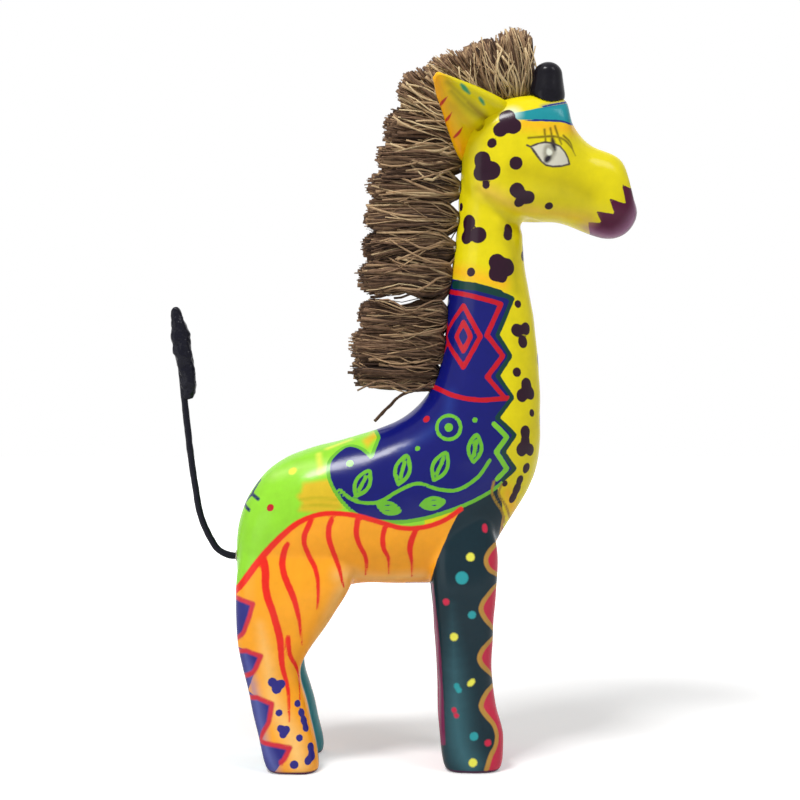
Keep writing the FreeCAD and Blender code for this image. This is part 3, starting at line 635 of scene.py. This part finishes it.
# The skin is cut finer round the eyes, where the lines are thin. The jaw's groove gives
# half widths, and its depth dies out over its reach. Lumps are the marks of the knife.
carving = {"voxel": 1.0, "rubs": 6, "lumps": [(11.0, 0.3, 3)],
           "eyeReach": 13.0, "eyeCuts": 2, "eyeOutside": 6.0,
           "jawCut": [(50.0, 213.0, 0.5), (45.0, 215.0, 0.5), (41.0, 217.4, 0.3), (37.0, 220.0, 0.0),
                      (33.0, 223.2, -0.8), (29.0, 227.4, -2.0)],
           "jawReach": 5.0, "jawDepth": 1.3}


# A soft groove between the jaw and the neck, which dies out towards the ear
def cutJaw(piece):
    points = pointsOf(piece.data)
    points[:, 1] = -np.abs(points[:, 1])
    with editing(piece.data) as mesh:
        mesh.normal_update()
        line = laidOn(BVHTree.FromBMesh(mesh), carving["jawCut"])
        distance = toStroke(points, line, 0, np.full(len(points), farAway))
        depth = carving["jawDepth"] * ease(1 - distance / carving["jawReach"])
        for vertex, cut in zip(mesh.verts, depth):
            vertex.co -= vertex.normal * (float(cut) * mm)


def carvedFigure():
    piece = skinOver("carved_body", "carvedFigure", carving["voxel"], carving["rubs"])
    cutJaw(piece)
    roughen(piece, carving["lumps"])
    eye = Vector(np.mean(np.array(eyeShape), axis=0)) * mm
    with editing(piece.data) as mesh:
        close = [edge for edge in mesh.edges
                 if (edge.verts[0].co.xz - eye).length < carving["eyeReach"] * mm
                 and abs(edge.verts[0].co.y) > carving["eyeOutside"] * mm]
        bmesh.ops.subdivide_edges(mesh, edges=close, cuts=carving["eyeCuts"], use_grid_fill=True)
    layPaint(piece, bodyPaint)
    layLegInsides(piece)
    finishPiece(piece, brushedPaint("acrylicOnWood", bodyPaint, legColours), "painted_wood", "carved_body")


# The right ear's frame: its foot's middle, its axis to the tip, and the way up across its foot.
# Stations give a share of the length, the width and the thickness. The section runs round
# from the lower rim over the hollow face with its fold, the rolled upper rim and the back.
earShape = {"foot": (30.1, -8.0, 251.0), "tip": (-18.7, -22.6, 16.1), "rise": (18.0, -4.0, 22.0),
            "voxel": 0.42, "rubs": 4, "lumps": [(6.0, 0.2, 5)], "rounding": 2,
            "stations": [(-0.20, 30.0, 8.0), (-0.08, 29.8, 9.0), (0.04, 28.4, 9.6), (0.18, 25.6, 9.4),
                         (0.35, 21.6, 8.4), (0.55, 16.4, 7.2), (0.75, 11.0, 5.8), (0.9, 6.8, 4.8),
                         (1.0, 3.4, 3.2)],
            "section": [(-0.50, -0.05), (-0.46, 0.18), (-0.34, 0.22), (-0.18, 0.10), (0.00, -0.06),
                        (0.12, -0.20), (0.18, -0.02), (0.25, 0.34), (0.36, 0.52), (0.46, 0.38),
                        (0.50, 0.05), (0.42, -0.36), (0.22, -0.56), (-0.05, -0.58), (-0.30, -0.46),
                        (-0.45, -0.26)]}


# Sets a ring of points to the ear's section at a station. Side is -1 on the right, 1 on the left
def earRing(loop, station, side):
    share, width, thickness = station
    axis = Vector(earShape["tip"])
    rise = Vector(earShape["rise"]).normalized()
    front = rise.cross(axis).normalized()
    centre = Vector(earShape["foot"]) + axis * share
    for vertex, (up, out) in zip(loop, earShape["section"]):
        place = (centre + rise * (up * width) + front * (out * thickness)) * mm
        vertex.co = Vector((place.x, -place.y * side, place.z))


def growEar(mesh, side):
    made = bmesh.ops.create_circle(mesh, segments=len(earShape["section"]), radius=mm, cap_ends=False)
    loop = made["verts"]
    earRing(loop, earShape["stations"][0], side)
    bmesh.ops.contextual_create(mesh, geom=loop)
    edges = [edge for edge in mesh.edges if edge.verts[0] in loop]
    for station in earShape["stations"][1:]:
        grown = bmesh.ops.extrude_edge_only(mesh, edges=edges)["geom"]
        edges = [part for part in grown if isinstance(part, bmesh.types.BMEdge)]
        fresh = {part for part in grown if isinstance(part, bmesh.types.BMVert)}
        loop = [edge.other_vert(old) for old in loop for edge in old.link_edges
                if edge.other_vert(old) in fresh]
        earRing(loop, station, side)
    bmesh.ops.contextual_create(mesh, geom=loop)
    bmesh.ops.recalc_face_normals(mesh, faces=mesh.faces)


def ears():
    material = brushedPaint("acrylicOnEars", earPaint)
    for hand, side in (("right", -1), ("left", 1)):
        piece = addObject(hand + "Ear", bpy.data.meshes.new(hand + "Ear"))
        with editing(piece.data) as mesh:
            growEar(mesh, side)
        rounder = piece.modifiers.new("round", "SUBSURF")
        rounder.levels = rounder.render_levels = earShape["rounding"]
        evenSkin(piece, earShape["voxel"], earShape["rubs"])
        roughen(piece, earShape["lumps"])
        layPaint(piece, earPaint)
        finishPiece(piece, material, "painted_wood", "ear_" + hand)


# Stoutness along, across and up, and a small step back
hornShape = {"voxel": 0.45, "rubs": 3, "stoutness": (1.1, 1.06, 1.0), "back": 0.7, "lumps": [(5.0, 0.15, 9)],
             "dustGrain": 1.5, "brushMarks": 0.06}


# Turned wood under black gloss enamel: near black, with a soft sheen and a little dust
def blackEnamel():
    material, tree = newMaterial("blackEnamel")
    place = addNode(tree, "ShaderNodeTexCoord").outputs["Object"]
    dust = addNode(tree, "ShaderNodeTexNoise", {"Vector": place, "Detail": 4.0,
                                               "Scale": 1 / (hornShape["dustGrain"] * mm)}).outputs[0]
    tint = addNode(tree, "ShaderNodeMix", {"Factor": dust, 6: linear("05040A"), 7: linear("110F19")},
                   data_type="RGBA")
    rough = addNode(tree, "ShaderNodeMapRange", {"Value": dust, "To Min": 0.28, "To Max": 0.5})
    bump = addNode(tree, "ShaderNodeBump", {"Height": dust, "Strength": 0.3,
                                           "Distance": hornShape["brushMarks"] * mm})
    shader = addNode(tree, "ShaderNodeBsdfPrincipled",
                     {"Base Color": tint.outputs[2], "Roughness": rough.outputs[0],
                      "Specular IOR Level": 0.05, "Coat Weight": 0.2, "Coat Roughness": 0.16,
                      "Normal": bump.outputs[0], "Coat Normal": bump.outputs[0]})
    closeMaterial(tree, shader)
    return material


def horns():
    material = blackEnamel()
    for hand in ("right", "left"):
        piece = skinOver("horn_" + hand, hand + "Horn", hornShape["voxel"], hornShape["rubs"])
        with editing(piece.data) as mesh:
            middle = sum((vertex.co for vertex in mesh.verts), Vector()) / len(mesh.verts)
            bmesh.ops.translate(mesh, verts=mesh.verts, vec=-middle)
            bmesh.ops.scale(mesh, verts=mesh.verts, vec=hornShape["stoutness"])
            bmesh.ops.translate(mesh, verts=mesh.verts, vec=middle - Vector((hornShape["back"] * mm, 0, 0)))
        roughen(piece, hornShape["lumps"])
        finishPiece(piece, material, "black_wood", "horn_" + hand)


# Counts are for one tuft. A lock is a bunch of fibres that run together, and a stray lies
# across the outside. Places across a bundle are shares of its size, and sways and arches are
# in millimetres. Leans, slants, sways and arches are spreads round zero, a tone is a middle
# and a spread, and other pairs are limits. Cuts go from the lowest tuft to the top one.
mane = {"seed": 11, "stations": 9, "profile": (0.6, 0.18), "taper": 0.8, "twist": 0.8,
        "holeDepth": 5.95, "inHole": 1.5, "rootRadius": 1.9, "endSlab": 0.4, "rootSpan": (2.0, 14.0),
        "rootThickness": 0.62, "thickBy": 0.4, "waistAt": 0.6, "waistLength": 0.17,
        "waves": (0.4, 1.5), "swayBy": 0.3, "bend": (1.0, 1.6), "fat": (0.88, 1.06),
        "cut": (-0.6, 0.0, -0.4, -1.1, -1.5, -0.5, -0.4, -0.9, -0.1, 0.2, -1.8, -1.0, -0.6), "cutStep": 0.04,
        "toneStep": 0.03, "evenTuft": 9, "crestFrom": 9, "mottleGrain": 1.6,
        "lock": {"count": 14, "packing": 0.4, "lean": (0.26, 0.2), "sway": 0.6, "arch": 0.9, "tone": 0.14},
        "fibre": {"packing": 0.35, "locksTried": 4, "gather": (0.15, 0.75), "wander": 0.13,
                  "lockSway": 0.7, "sway": 0.35, "reach": 0.02, "edge": 1.1,
                  "roundTo": 1.2, "roundPower": 2.5},
        "stray": {"rim": (0.9, 1.0), "slant": (0.9, 0.05), "sway": 1.2, "reach": (0.6, 1.03)},
        "kinds": {"strip": {"count": 300, "width": (0.7, 1.9), "tone": (0.46, 0.18)},
                  "thread": {"count": 300, "width": (0.25, 0.6), "tone": (0.5, 0.2)},
                  "stray": {"count": 34, "width": (0.45, 1.1), "tone": (0.85, 0.12)}}}

# How a tuft opens out above and below its middle, and how its cut end is shaped. The crest's
# tufts are rounder, some tufts leave a gap to the next, and the last keeps off the horns.
gapAbove = {"fanAbove": 0.22, "spreadAbove": 1.04}
gapBelow = {"fanBelow": 0.22, "spreadBelow": 1.04}
tuftStyles = {
    "all": {"wisp": 0.02, "round": 0.11, "ragged": 0.035, "slant": 0.0, "fanAbove": 0.07, "fanBelow": 0.07,
            "spreadAbove": 1.22, "spreadBelow": 1.22, "waistAbove": 0.0, "waistBelow": 0.0,
            "limitAbove": 1.15, "limitBelow": 1.15},
    "crest": {"round": 0.14, "ragged": 0.05},
    "own": {1: {"spreadBelow": 0.98}, 3: {"waistAbove": 0.55, "limitAbove": 1.0},
            4: {"waistBelow": 0.55, "limitBelow": 1.0}, 5: gapAbove, 6: gapAbove | gapBelow,
            7: gapAbove | gapBelow, 8: gapBelow, 10: {"slant": 0.08}, 13: {"wisp": 0.1, "round": 0.2}},
    "lastFront": {"limit": 0.8, "spread": 0.85},
}


# Sun-dried palm fibre: split flat strips, dull, from dark brown to straw, darker at the root
def driedFibre():
    material, tree = newMaterial("driedPalmFibre")
    place = addNode(tree, "ShaderNodeTexCoord").outputs["Object"]
    tone = addNode(tree, "ShaderNodeAttribute", attribute_name="tone").outputs["Fac"]
    reach = addNode(tree, "ShaderNodeAttribute", attribute_name="reach").outputs["Fac"]
    mottle = addNode(tree, "ShaderNodeTexNoise", {"Vector": place, "Detail": 3.0,
                                                 "Scale": 1 / (mane["mottleGrain"] * mm)})
    shade = addNode(tree, "ShaderNodeMapRange", {"Value": mottle.outputs[0], "To Min": -0.18, "To Max": 0.18})
    shaded = addNode(tree, "ShaderNodeMath", {0: tone, 1: shade.outputs[0]})
    ramp = addNode(tree, "ShaderNodeValToRGB", {"Fac": shaded.outputs[0]})
    stops = [(0.0, "33231A"), (0.25, "5B4433"), (0.5, "836750"), (0.75, "A98B69"), (1.0, "CFB88F")]
    for position, _ in stops[1:-1]:
        ramp.color_ramp.elements.new(position)
    for element, (_, code) in zip(ramp.color_ramp.elements, stops):
        element.color = linear(code)
    root = addNode(tree, "ShaderNodeMapRange", {"Value": reach, "From Min": 0.05, "From Max": 0.9,
                                               "To Min": 0.62, "To Max": 1.15})
    deeper = addNode(tree, "ShaderNodeHueSaturation", {"Color": ramp.outputs[0], "Value": root.outputs[0]})
    shader = addNode(tree, "ShaderNodeBsdfPrincipled",
                     {"Base Color": deeper.outputs[0], "Roughness": 0.6, "IOR": 1.45,
                      "Specular IOR Level": 0.15, "Sheen Weight": 0.05, "Sheen Roughness": 0.5})
    closeMaterial(tree, shader)
    return material


# Where a tuft's drill line starts and runs, and how high and thick its cut end is
def tuftLine(node):
    points = pointsOf(nodes[node].data)
    spread = points[:, [0, 2]] - points[:, [0, 2]].mean(0)
    axis = np.linalg.svd(spread, full_matrices=False)[2][0]
    for _ in range(2):
        along = points[:, [0, 2]] @ axis
        ends = [points[along < along.min() + mane["endSlab"]], points[along > along.max() - mane["endSlab"]]]
        ends.sort(key=lambda end: np.ptp(end[:, 1]))
        root, cut = [(end[:, [0, 2]].min(0) + end[:, [0, 2]].max(0)) / 2 for end in ends]
        length = np.linalg.norm(cut - root)
        axis = (cut - root) / length
    up = np.array([axis[1], -axis[0]])
    up = up if up[1] > 0 else -up
    across = ends[1][:, [0, 2]] @ up
    along = (points[:, [0, 2]] - root) @ axis - mane["holeDepth"]
    middle = points[(along > mane["rootSpan"][0]) & (along < mane["rootSpan"][1])]
    rootHigh = np.ptp(middle[:, [0, 2]] @ up) / 2 if len(middle) else np.ptp(across) / 2
    mouth = root + axis * mane["holeDepth"]
    return {"mouth": mouth, "axis": axis, "up": up, "length": length - mane["holeDepth"],
            "rootHigh": rootHigh, "cutHigh": np.ptp(across) / 2, "thick": np.ptp(points[:, 1]) / 2}


# One fibre of a tuft. start and end are its places across the bundle, as shares of its size
def fibreLine(line, chance, start, end, sway, arch, reach, style):
    stations = np.linspace(0, 1, mane["stations"])
    bend = stations ** style["bend"]
    high = start[0] + (end[0] - start[0]) * bend
    thick = start[1] + (end[1] - start[1]) * bend
    waist = np.exp(-((stations - mane["waistAt"]) / mane["waistLength"]) ** 2)
    spread = np.where(high > 0, style["spreadAbove"] - style["waistAbove"] * waist,
                      style["spreadBelow"] - style["waistBelow"] * waist)
    grown = ease(stations / np.where(high > 0, style["fanAbove"], style["fanBelow"]))
    fullHigh = (line["rootHigh"] + stations * (line["cutHigh"] - line["rootHigh"])) * spread
    thickened = np.clip(stations / mane["thickBy"], 0, 1)
    fullThick = line["thick"] * style["fat"] * (
        mane["rootThickness"] + (1 - mane["rootThickness"]) * thickened)
    turns = chance.uniform(*mane["waves"])
    phase = chance.uniform(0, fullTurn)
    wave = (np.sin(stations * turns * fullTurn + phase) - math.sin(phase)) * ease(stations / mane["swayBy"])
    rise = high * (mane["rootRadius"] * (1 - grown) + fullHigh * grown) + sway * wave
    rise += arch * np.sin(stations * math.pi)
    side = thick * (mane["rootRadius"] * (1 - grown) + fullThick * grown) + sway * wave / 2
    out = -mane["inHole"] + (reach + mane["inHole"]) * stations
    flat = line["mouth"] + np.outer(out, line["axis"]) + np.outer(rise, line["up"])
    return np.stack([flat[:, 0], side, flat[:, 1]], 1) * mm


# A random place in a disc, nearer its rim for a lower power
def inDisc(chance, power):
    turn, far = chance.uniform(0, fullTurn), chance.uniform() ** power
    return np.array([far * math.cos(turn), far * math.sin(turn)])


# The lines of a tuft's fibres: from the hole they fan out into a round bundle, gather in
# locks that cross each other, and end in one ragged cut
def fibreLines(line, chance, style):
    lines, widths, tones = [], [], []
    bunch, own, stray, kinds = mane["lock"], mane["fibre"], mane["stray"], mane["kinds"]
    locks = [{"place": inDisc(chance, bunch["packing"]), "lean": chance.normal(0, bunch["lean"]),
              "sway": chance.normal(0, bunch["sway"]), "arch": chance.normal(0, bunch["arch"]),
              "reach": chance.normal(0, style["ragged"]), "tone": chance.normal(0, bunch["tone"])}
             for _ in range(bunch["count"])]
    for kind in [kind for kind, facts in kinds.items() for _ in range(facts["count"])]:
        start = inDisc(chance, own["packing"])
        tried = [locks[i] for i in chance.integers(len(locks), size=own["locksTried"])]
        lock = min(tried, key=lambda one: np.linalg.norm(one["place"] - start))
        if kind == "stray":
            start = np.array([chance.uniform(-1, 1), chance.choice([-1, 1]) * chance.uniform(*stray["rim"])])
            end = start + chance.normal(0, stray["slant"])
            sway = chance.normal(0, stray["sway"])
            reach = line["length"] * chance.uniform(*stray["reach"])
        else:
            gather = chance.uniform(*own["gather"])
            end = start + (lock["place"] - start) * gather + lock["lean"]
            end += chance.normal(0, own["wander"], 2)
            sway = lock["sway"] * own["lockSway"] + chance.normal(0, own["sway"])
            reach = line["length"] * (1 + lock["reach"] + style["cut"] + chance.normal(0, own["reach"])
                                      - abs(chance.normal(0, style["wisp"])))
        end = np.clip(end, (-style["limitBelow"], -own["edge"]), (style["limitAbove"], own["edge"]))
        rim = min(abs(end[0]), own["roundTo"]) ** own["roundPower"]
        reach *= 1 - style["round"] * rim + style["slant"] * end[0]
        lines.append(fibreLine(line, chance, start, end, sway, lock["arch"], reach, style))
        widths.append({name: chance.uniform(*facts["width"]) for name, facts in kinds.items()}[kind])
        tone = {name: chance.normal(*facts["tone"]) for name, facts in kinds.items()}[kind]
        tones.append(style["tone"] + tone + (0 if kind == "stray" else lock["tone"]))
    return lines, widths, tones


# A flat diamond that is swept along every fibre
def fibreProfile():
    curve = bpy.data.curves.new("fibreProfile", "CURVE")
    curve.dimensions = "2D"
    wide, thin = mane["profile"]
    corners = [(wide, 0), (0, thin), (-wide, 0), (0, -thin)]
    spline = curve.splines.new("POLY")
    spline.points.add(len(corners) - 1)
    for point, (x, y) in zip(spline.points, corners):
        point.co = (x * mm, y * mm, 0, 1)
    spline.use_cyclic_u = True
    return addObject("fibreProfile", curve)


# Sweeps the profile along every fibre of a tuft and caps the ends
def tuftPiece(name, node, line, profile, material, chance, style):
    lines, widths, tones = fibreLines(line, chance, style)
    curve = bpy.data.curves.new(name, "CURVE")
    curve.dimensions = "3D"
    curve.bevel_mode = "OBJECT"
    curve.bevel_object = profile
    for points, width in zip(lines, widths):
        count = len(points)
        spline = curve.splines.new("POLY")
        spline.points.add(count - 1)
        spline.points.foreach_set("co", np.hstack([points, np.ones((count, 1))]).ravel())
        spline.points.foreach_set("radius", width * np.linspace(1.0, mane["taper"], count))
        roll = chance.uniform(0, fullTurn / 2)
        spline.points.foreach_set("tilt", roll + np.linspace(0, chance.normal(0, mane["twist"]), count))
    holder = addObject(name + "Lines", curve)
    mesh = workedOut(holder)
    bpy.data.objects.remove(holder)
    perFibre = len(mesh.vertices) // len(lines)
    reach = np.repeat(np.linspace(0, 1, mane["stations"]), perFibre // mane["stations"])
    writePoints(mesh, "tone", np.repeat(np.clip(tones, 0, 1), perFibre))
    writePoints(mesh, "reach", np.tile(reach, len(lines)))
    with editing(mesh) as capped:
        bmesh.ops.holes_fill(capped, edges=[edge for edge in capped.edges if edge.is_boundary], sides=4)
    finishPiece(addObject(name, mesh), material, "plant_fibre", node)


def maneTufts():
    chance = np.random.default_rng(mane["seed"])
    profile = fibreProfile()
    material = driedFibre()
    tufts = sorted(node for node in nodes if node.startswith("mane_tuft"))
    for number, node in enumerate(tufts, 1):
        style = tuftStyles["all"] | (tuftStyles["crest"] if number >= mane["crestFrom"] else {})
        style |= tuftStyles["own"].get(number, {})
        style["cut"] = mane["cut"][number - 1] * mane["cutStep"]
        style["bend"] = chance.uniform(*mane["bend"])
        style["fat"] = chance.uniform(*mane["fat"])
        style["tone"] = (number - mane["evenTuft"]) * mane["toneStep"]
        line = tuftLine(node)
        if number == len(tufts):
            front = "Above" if line["up"][0] > 0 else "Below"
            style |= {part + front: share for part, share in tuftStyles["lastFront"].items()}
        tuftPiece(f"maneTuft{number:02d}", node, line, profile, material, chance, style)
    bpy.data.objects.remove(profile)
    return material


glue = {"voxel": 0.25, "rubs": 3, "lumps": [(1.6, 0.35, 2)], "cloudGrain": 1.2, "ripples": 0.2}


# Hot-melt glue: cloudy, pale amber and shiny
def hotGlue():
    material, tree = newMaterial("hotMeltGlue")
    place = addNode(tree, "ShaderNodeTexCoord").outputs["Object"]
    cloud = addNode(tree, "ShaderNodeTexNoise", {"Vector": place, "Detail": 3.0,
                                                "Scale": 1 / (glue["cloudGrain"] * mm)}).outputs[0]
    tint = addNode(tree, "ShaderNodeMix", {"Factor": cloud, 6: linear("B9AE94"), 7: linear("E6E0CC")},
                   data_type="RGBA")
    bump = addNode(tree, "ShaderNodeBump", {"Height": cloud, "Strength": 0.4,
                                            "Distance": glue["ripples"] * mm})
    shader = addNode(tree, "ShaderNodeBsdfPrincipled",
                     {"Base Color": tint.outputs[2], "Roughness": 0.22, "IOR": 1.48,
                      "Transmission Weight": 0.45, "Subsurface Weight": 0.2,
                      "Subsurface Radius": (0.002, 0.0016, 0.001), "Normal": bump.outputs[0]})
    closeMaterial(tree, shader)
    return material


def glueCollars():
    material = hotGlue()
    for node, name in (("mane_glue", "maneGlue"), ("tail_glue", "tailGlue")):
        piece = skinOver(node, name, glue["voxel"], glue["rubs"])
        roughen(piece, glue["lumps"])
        finishPiece(piece, material, "clear_glue", node)


tailParts = {
    "tail_wire": {"name": "tailWire", "voxel": 0.3, "rubs": 3, "lumps": [(3.0, 0.12, 4)],
                  "slot": "black_wire", "finish": "dippedWire", "grain": 1.2, "rough": 0.4},
    "tail_tassel": {"name": "tailTassel", "voxel": 0.35, "rubs": 3, "lumps": [(3.4, 0.7, 6), (1.2, 0.16, 7)],
                    "slot": "black_resin", "finish": "lumpyResin", "grain": 0.8, "rough": 0.34},
}
dipDepth = 0.1  # how far the dip's own small lumps stand up


# Tail parts in black: vinyl-dipped wire, and a tassel of set resin with a lumpy shine
def dippedBlack(part):
    material, tree = newMaterial(part["finish"])
    place = addNode(tree, "ShaderNodeTexCoord").outputs["Object"]
    small = addNode(tree, "ShaderNodeTexNoise", {"Vector": place, "Detail": 4.0,
                                                "Scale": 1 / (part["grain"] * mm)}).outputs[0]
    tint = addNode(tree, "ShaderNodeMix", {"Factor": small, 6: linear("04040E"), 7: linear("101020")},
                   data_type="RGBA")
    bump = addNode(tree, "ShaderNodeBump", {"Height": small, "Strength": 0.6, "Distance": dipDepth * mm})
    shader = addNode(tree, "ShaderNodeBsdfPrincipled",
                     {"Base Color": tint.outputs[2], "Roughness": part["rough"], "Specular IOR Level": 0.05,
                      "Coat Weight": 0.22, "Coat Roughness": 0.2, "Normal": bump.outputs[0]})
    closeMaterial(tree, shader)
    return material


def tail():
    for node, part in tailParts.items():
        piece = skinOver(node, part["name"], part["voxel"], part["rubs"])
        roughen(piece, part["lumps"])
        finishPiece(piece, dippedBlack(part), part["slot"], node)


stalk = {"voxel": 0.22, "rubs": 2, "lumps": [(2.0, 0.25, 8)], "tone": 0.28}


def looseStalk(material):
    piece = skinOver("loose_stalk", "looseStalk", stalk["voxel"], stalk["rubs"])
    roughen(piece, stalk["lumps"])
    count = len(piece.data.vertices)
    writePoints(piece.data, "tone", np.full(count, stalk["tone"]))
    writePoints(piece.data, "reach", np.ones(count))
    finishPiece(piece, material, "plant_fibre", "loose_stalk")


# In metres and watts. The floor glows a little near the figure and fades to plain white.
studio = {"floorSize": 6.0, "world": 0.31, "backdrop": "FFFFFF", "floorGlow": 0.3, "fade": (0.12, 0.6),
          "paperTone": (0.78, 0.82), "paperGrain": 0.006, "aim": (0, 0, 0.14),
          "sensor": 36.0, "lens": 64.1, "clip": (0.01, 20),  # the sensor and the lens are in millimetres
          "softboxes": {"key": {"place": (-0.36, -0.56, 1.24), "size": (0.3, 0.26), "power": 11.4},
                        "window": {"place": (-1.2, -0.95, 0.35), "size": (0.8, 0.9), "power": 3.4},
                        "side": {"place": (0.65, -0.6, 1.1), "size": (0.4, 0.4), "power": 3.2},
                        "rear": {"place": (0.2, 1.8, 0.7), "size": (2.8, 2.2), "power": 12.0}}}


def softbox(name, facts):
    lamp = bpy.data.lights.new(name, "AREA")
    lamp.shape = "RECTANGLE"
    lamp.size, lamp.size_y = facts["size"]
    lamp.energy = facts["power"]
    holder = addObject(name, lamp)
    holder.location = facts["place"]
    beam = Vector(studio["aim"]) - holder.location
    holder.rotation_euler = beam.to_track_quat("-Z", "Y").to_euler()


# Camera, mirror and glass rays see plain white, and other rays get the studio's own level
def seenWhite(tree):
    rays = addNode(tree, "ShaderNodeLightPath")
    seen = rays.outputs["Is Camera Ray"]
    for kind in ("Is Glossy Ray", "Is Transmission Ray"):
        seen = addNode(tree, "ShaderNodeMath", {0: seen, 1: rays.outputs[kind]},
                       operation="MAXIMUM").outputs[0]
    return seen


# Matt white paper with a faint grain
def paperFloor():
    material, tree = newMaterial("paperFloor")
    place = addNode(tree, "ShaderNodeTexCoord").outputs["Object"]
    grain = addNode(tree, "ShaderNodeTexNoise", {"Vector": place, "Detail": 2.0,
                                                "Scale": 1 / studio["paperGrain"]})
    tone = addNode(tree, "ShaderNodeMapRange", {"Value": grain.outputs[0], "To Min": studio["paperTone"][0],
                                               "To Max": studio["paperTone"][1]})
    paper = addNode(tree, "ShaderNodeBsdfDiffuse", {"Color": tone.outputs[0]})
    away = addNode(tree, "ShaderNodeVectorMath", {0: place}, operation="LENGTH")
    fade = addNode(tree, "ShaderNodeMapRange", {"Value": away.outputs["Value"], "To Max": 1.0,
                                               "From Min": studio["fade"][0], "From Max": studio["fade"][1],
                                               "To Min": studio["floorGlow"]})
    glow = addNode(tree, "ShaderNodeMath", {0: seenWhite(tree), 1: fade.outputs[0]}, operation="MULTIPLY")
    lift = addNode(tree, "ShaderNodeEmission", {"Strength": glow.outputs[0]})
    both = addNode(tree, "ShaderNodeAddShader", {0: paper.outputs[0], 1: lift.outputs[0]})
    closeMaterial(tree, both)
    return material


def buildStudio():
    world = bpy.data.worlds.new("studio")
    scene.world = world
    world.use_nodes = True
    tree = world.node_tree
    tree.nodes.clear()
    level = addNode(tree, "ShaderNodeMapRange", {"Value": seenWhite(tree), "To Min": studio["world"],
                                                "To Max": 1.0})
    back = addNode(tree, "ShaderNodeBackground", {"Color": linear(studio["backdrop"]),
                                                 "Strength": level.outputs[0]})
    addNode(tree, "ShaderNodeOutputWorld", {"Surface": back.outputs[0]})
    floor = addObject("floor", bpy.data.meshes.new("floor"))
    with editing(floor.data) as mesh:
        bmesh.ops.create_grid(mesh, x_segments=1, y_segments=1, size=studio["floorSize"] / 2)
    floor.data.materials.append(paperFloor())
    for name, facts in studio["softboxes"].items():
        softbox(name, facts)
    scene.view_settings.view_transform = "Standard"
    print("studio: floor and softboxes set")


def placeCamera():
    lens = bpy.data.cameras.new("camera")
    lens.sensor_width = studio["sensor"]
    lens.lens = studio["lens"]
    lens.clip_start, lens.clip_end = studio["clip"]
    camera = addObject("camera", lens)
    camera.location = eyePoint
    camera.rotation_euler = (math.radians(90), 0, 0)
    scene.camera = camera


carvedFigure()
ears()
horns()
fibre = maneTufts()
glueCollars()
tail()
looseStalk(fibre)
buildStudio()
placeCamera()

bpy.context.view_layer.update()
